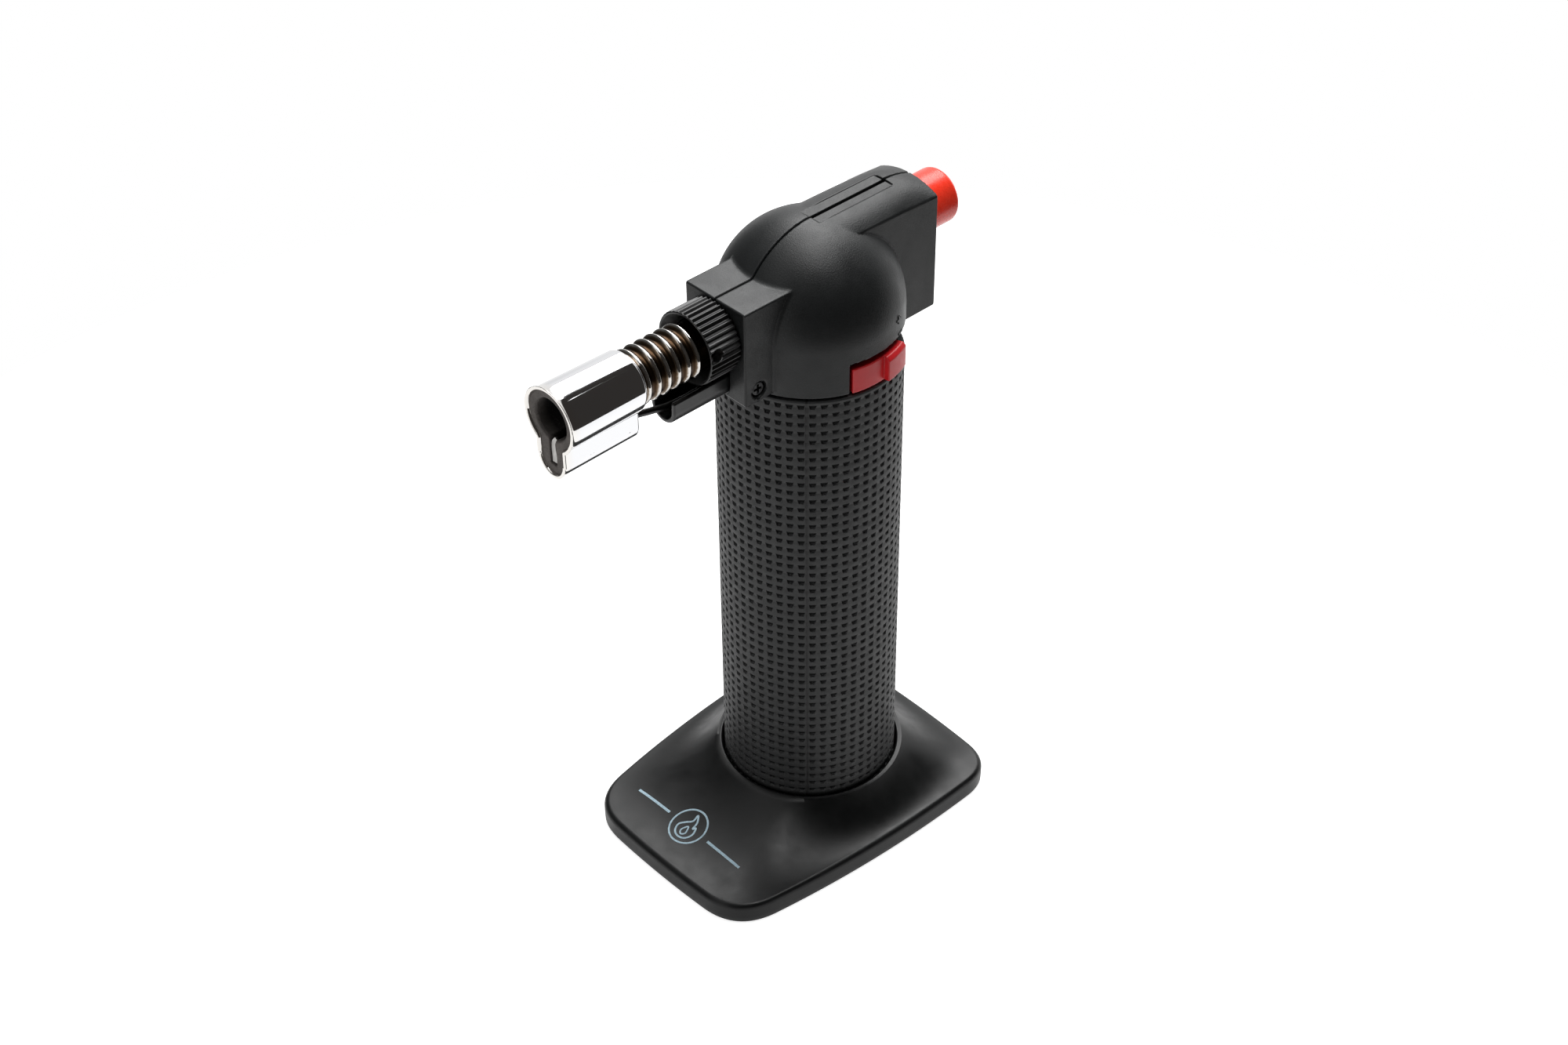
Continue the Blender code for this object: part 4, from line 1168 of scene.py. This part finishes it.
FLOOR_R, FLOOR_GAP, WHITE = 0.27, 0.0002, 0.95
DARK_CARD, DIM_CARD = (0.93, 0.0, 0.37), (-0.88, -0.45, 0.10)
LAMP_TARGET = 0.10


def build_floor():
    """A pale disc that looks white to the camera and throws less light back on the torch."""
    bm = bmesh.new()
    bmesh.ops.create_circle(bm, cap_ends=True, segments=128, radius=FLOOR_R)
    mesh = bpy.data.meshes.new("floor")
    bm.to_mesh(mesh)
    bm.free()
    floor = bpy.data.objects.new("floor", mesh)
    floor.location = (0, 0, -FLOOR_GAP)
    bpy.context.scene.collection.objects.link(floor)
    pale = (0.60, 0.60, 0.60, 1)
    white = Finish("floor_white", Base_Color=pale, Roughness=0.7, Emission_Color=(1, 1, 1, 1))
    seen = white.add("ShaderNodeLightPath").outputs["Is Camera Ray"]
    glow = white.math("MULTIPLY_ADD", seen, 0.45, 0.40)
    white.feed(white.surface.inputs["Emission Strength"], glow)
    mesh.materials.append(white.material)


def build_sky():
    """White walls for the camera; for reflections, pale walls with a dark card and a dim one."""
    world = bpy.data.worlds.new("studio")
    bpy.context.scene.world = world
    world.use_nodes = True
    sky = Nodes(world.node_tree)
    toward = sky.add("ShaderNodeTexCoord").outputs["Generated"]

    def card(direction, *stops):
        """A ramp over how nearly a ray goes in a direction."""
        dot = sky.tree.nodes.new("ShaderNodeVectorMath")
        dot.operation = "DOT_PRODUCT"
        sky.feed(dot.inputs[0], toward)
        sky.feed(dot.inputs[1], Vector(direction).normalized())
        return sky.ramp(dot.outputs["Value"], *stops)

    dark = card(DARK_CARD, (0.25, WHITE), (0.37, (0.032, 0.029, 0.027)))
    dim = card(DIM_CARD, (0.52, 1.0), (0.74, 0.10))
    seen = sky.add("ShaderNodeLightPath").outputs["Is Camera Ray"]
    light = sky.blend(seen, sky.blend(1.0, dark, dim, "MULTIPLY"), (1.0, 1.0, 1.0))
    sky.feed(sky.tree.nodes["Background"].inputs["Color"], light)


def softbox(name, direction, distance, size, radiance):
    """A rectangular light in a direction from the torch, with its radiance instead of its power."""
    light = bpy.data.lights.new(name, "AREA")
    light.shape = "RECTANGLE"
    light.size, light.size_y = size
    light.energy = radiance * math.pi * size[0] * size[1]
    lamp = bpy.data.objects.new(name, light)
    middle = Vector((0, 0, LAMP_TARGET)) + AXIS
    lamp.location = middle + Vector(direction).normalized() * distance
    lamp.rotation_mode = "QUATERNION"
    lamp.rotation_quaternion = (middle - lamp.location).to_track_quat("-Z", "Y")
    bpy.context.scene.collection.objects.link(lamp)


def studio():
    """The floor, the walls and three lamps, whose directions are read from the torch's highlights."""
    bpy.context.scene.view_settings.view_transform = "Standard"
    build_floor()
    build_sky()
    softbox("behind", (-0.38, 0.52, 0.77), 1.0, (0.8, 0.6), 6.0)
    softbox("overhead", (0.03, 0.14, 0.99), 1.0, (0.6, 0.5), 6.0)
    softbox("streak", (0.30, 0.455, 0.838), 1.2, (0.03, 0.03), 5.0)


# The camera that was fitted to the photograph: degrees, millimetres, and the lens on a 36 mm sensor
AZIMUTH, ELEVATION, ROLL = 47.1837, 38.9839, -0.4843
DISTANCE, SHIFT, TARGET_HEIGHT = 525.4138, 5.2889, 73.7793
SENSOR, LENS = 36.0, 57.61


def photo_camera():
    """Sets the fitted camera."""
    azimuth, elevation, roll = (math.radians(a) for a in (AZIMUTH, ELEVATION, ROLL))
    level = math.cos(elevation)
    back = Vector((math.sin(azimuth) * level, -math.cos(azimuth) * level, math.sin(elevation)))
    right = (-back).cross(Vector((0, 0, 1))).normalized()
    up = right.cross(-back)
    target = Vector((0, 0, TARGET_HEIGHT)) - right * SHIFT
    tilted_right = right * math.cos(roll) + up * math.sin(roll)
    tilted_up = up * math.cos(roll) - right * math.sin(roll)
    data = bpy.data.cameras.new("camera")
    data.sensor_width, data.lens = SENSOR, LENS
    data.clip_start, data.clip_end = 0.01, 20.0
    camera = bpy.data.objects.new("camera", data)
    turn = Matrix((tilted_right, tilted_up, back)).transposed()
    place = (target + back * DISTANCE) * MM + AXIS
    camera.matrix_world = Matrix.Translation(place) @ turn.to_4x4()
    bpy.context.scene.collection.objects.link(camera)
    bpy.context.scene.camera = camera


for build in (
    paint_frame, build_shells, build_sleeve, build_lever, build_button, build_collar, build_tube,
    build_sheath, build_insert, build_electrode, build_trough, build_lead, build_screw, build_foot,
    build_print, build_marks, build_springs, studio, photo_camera,
):
    build()
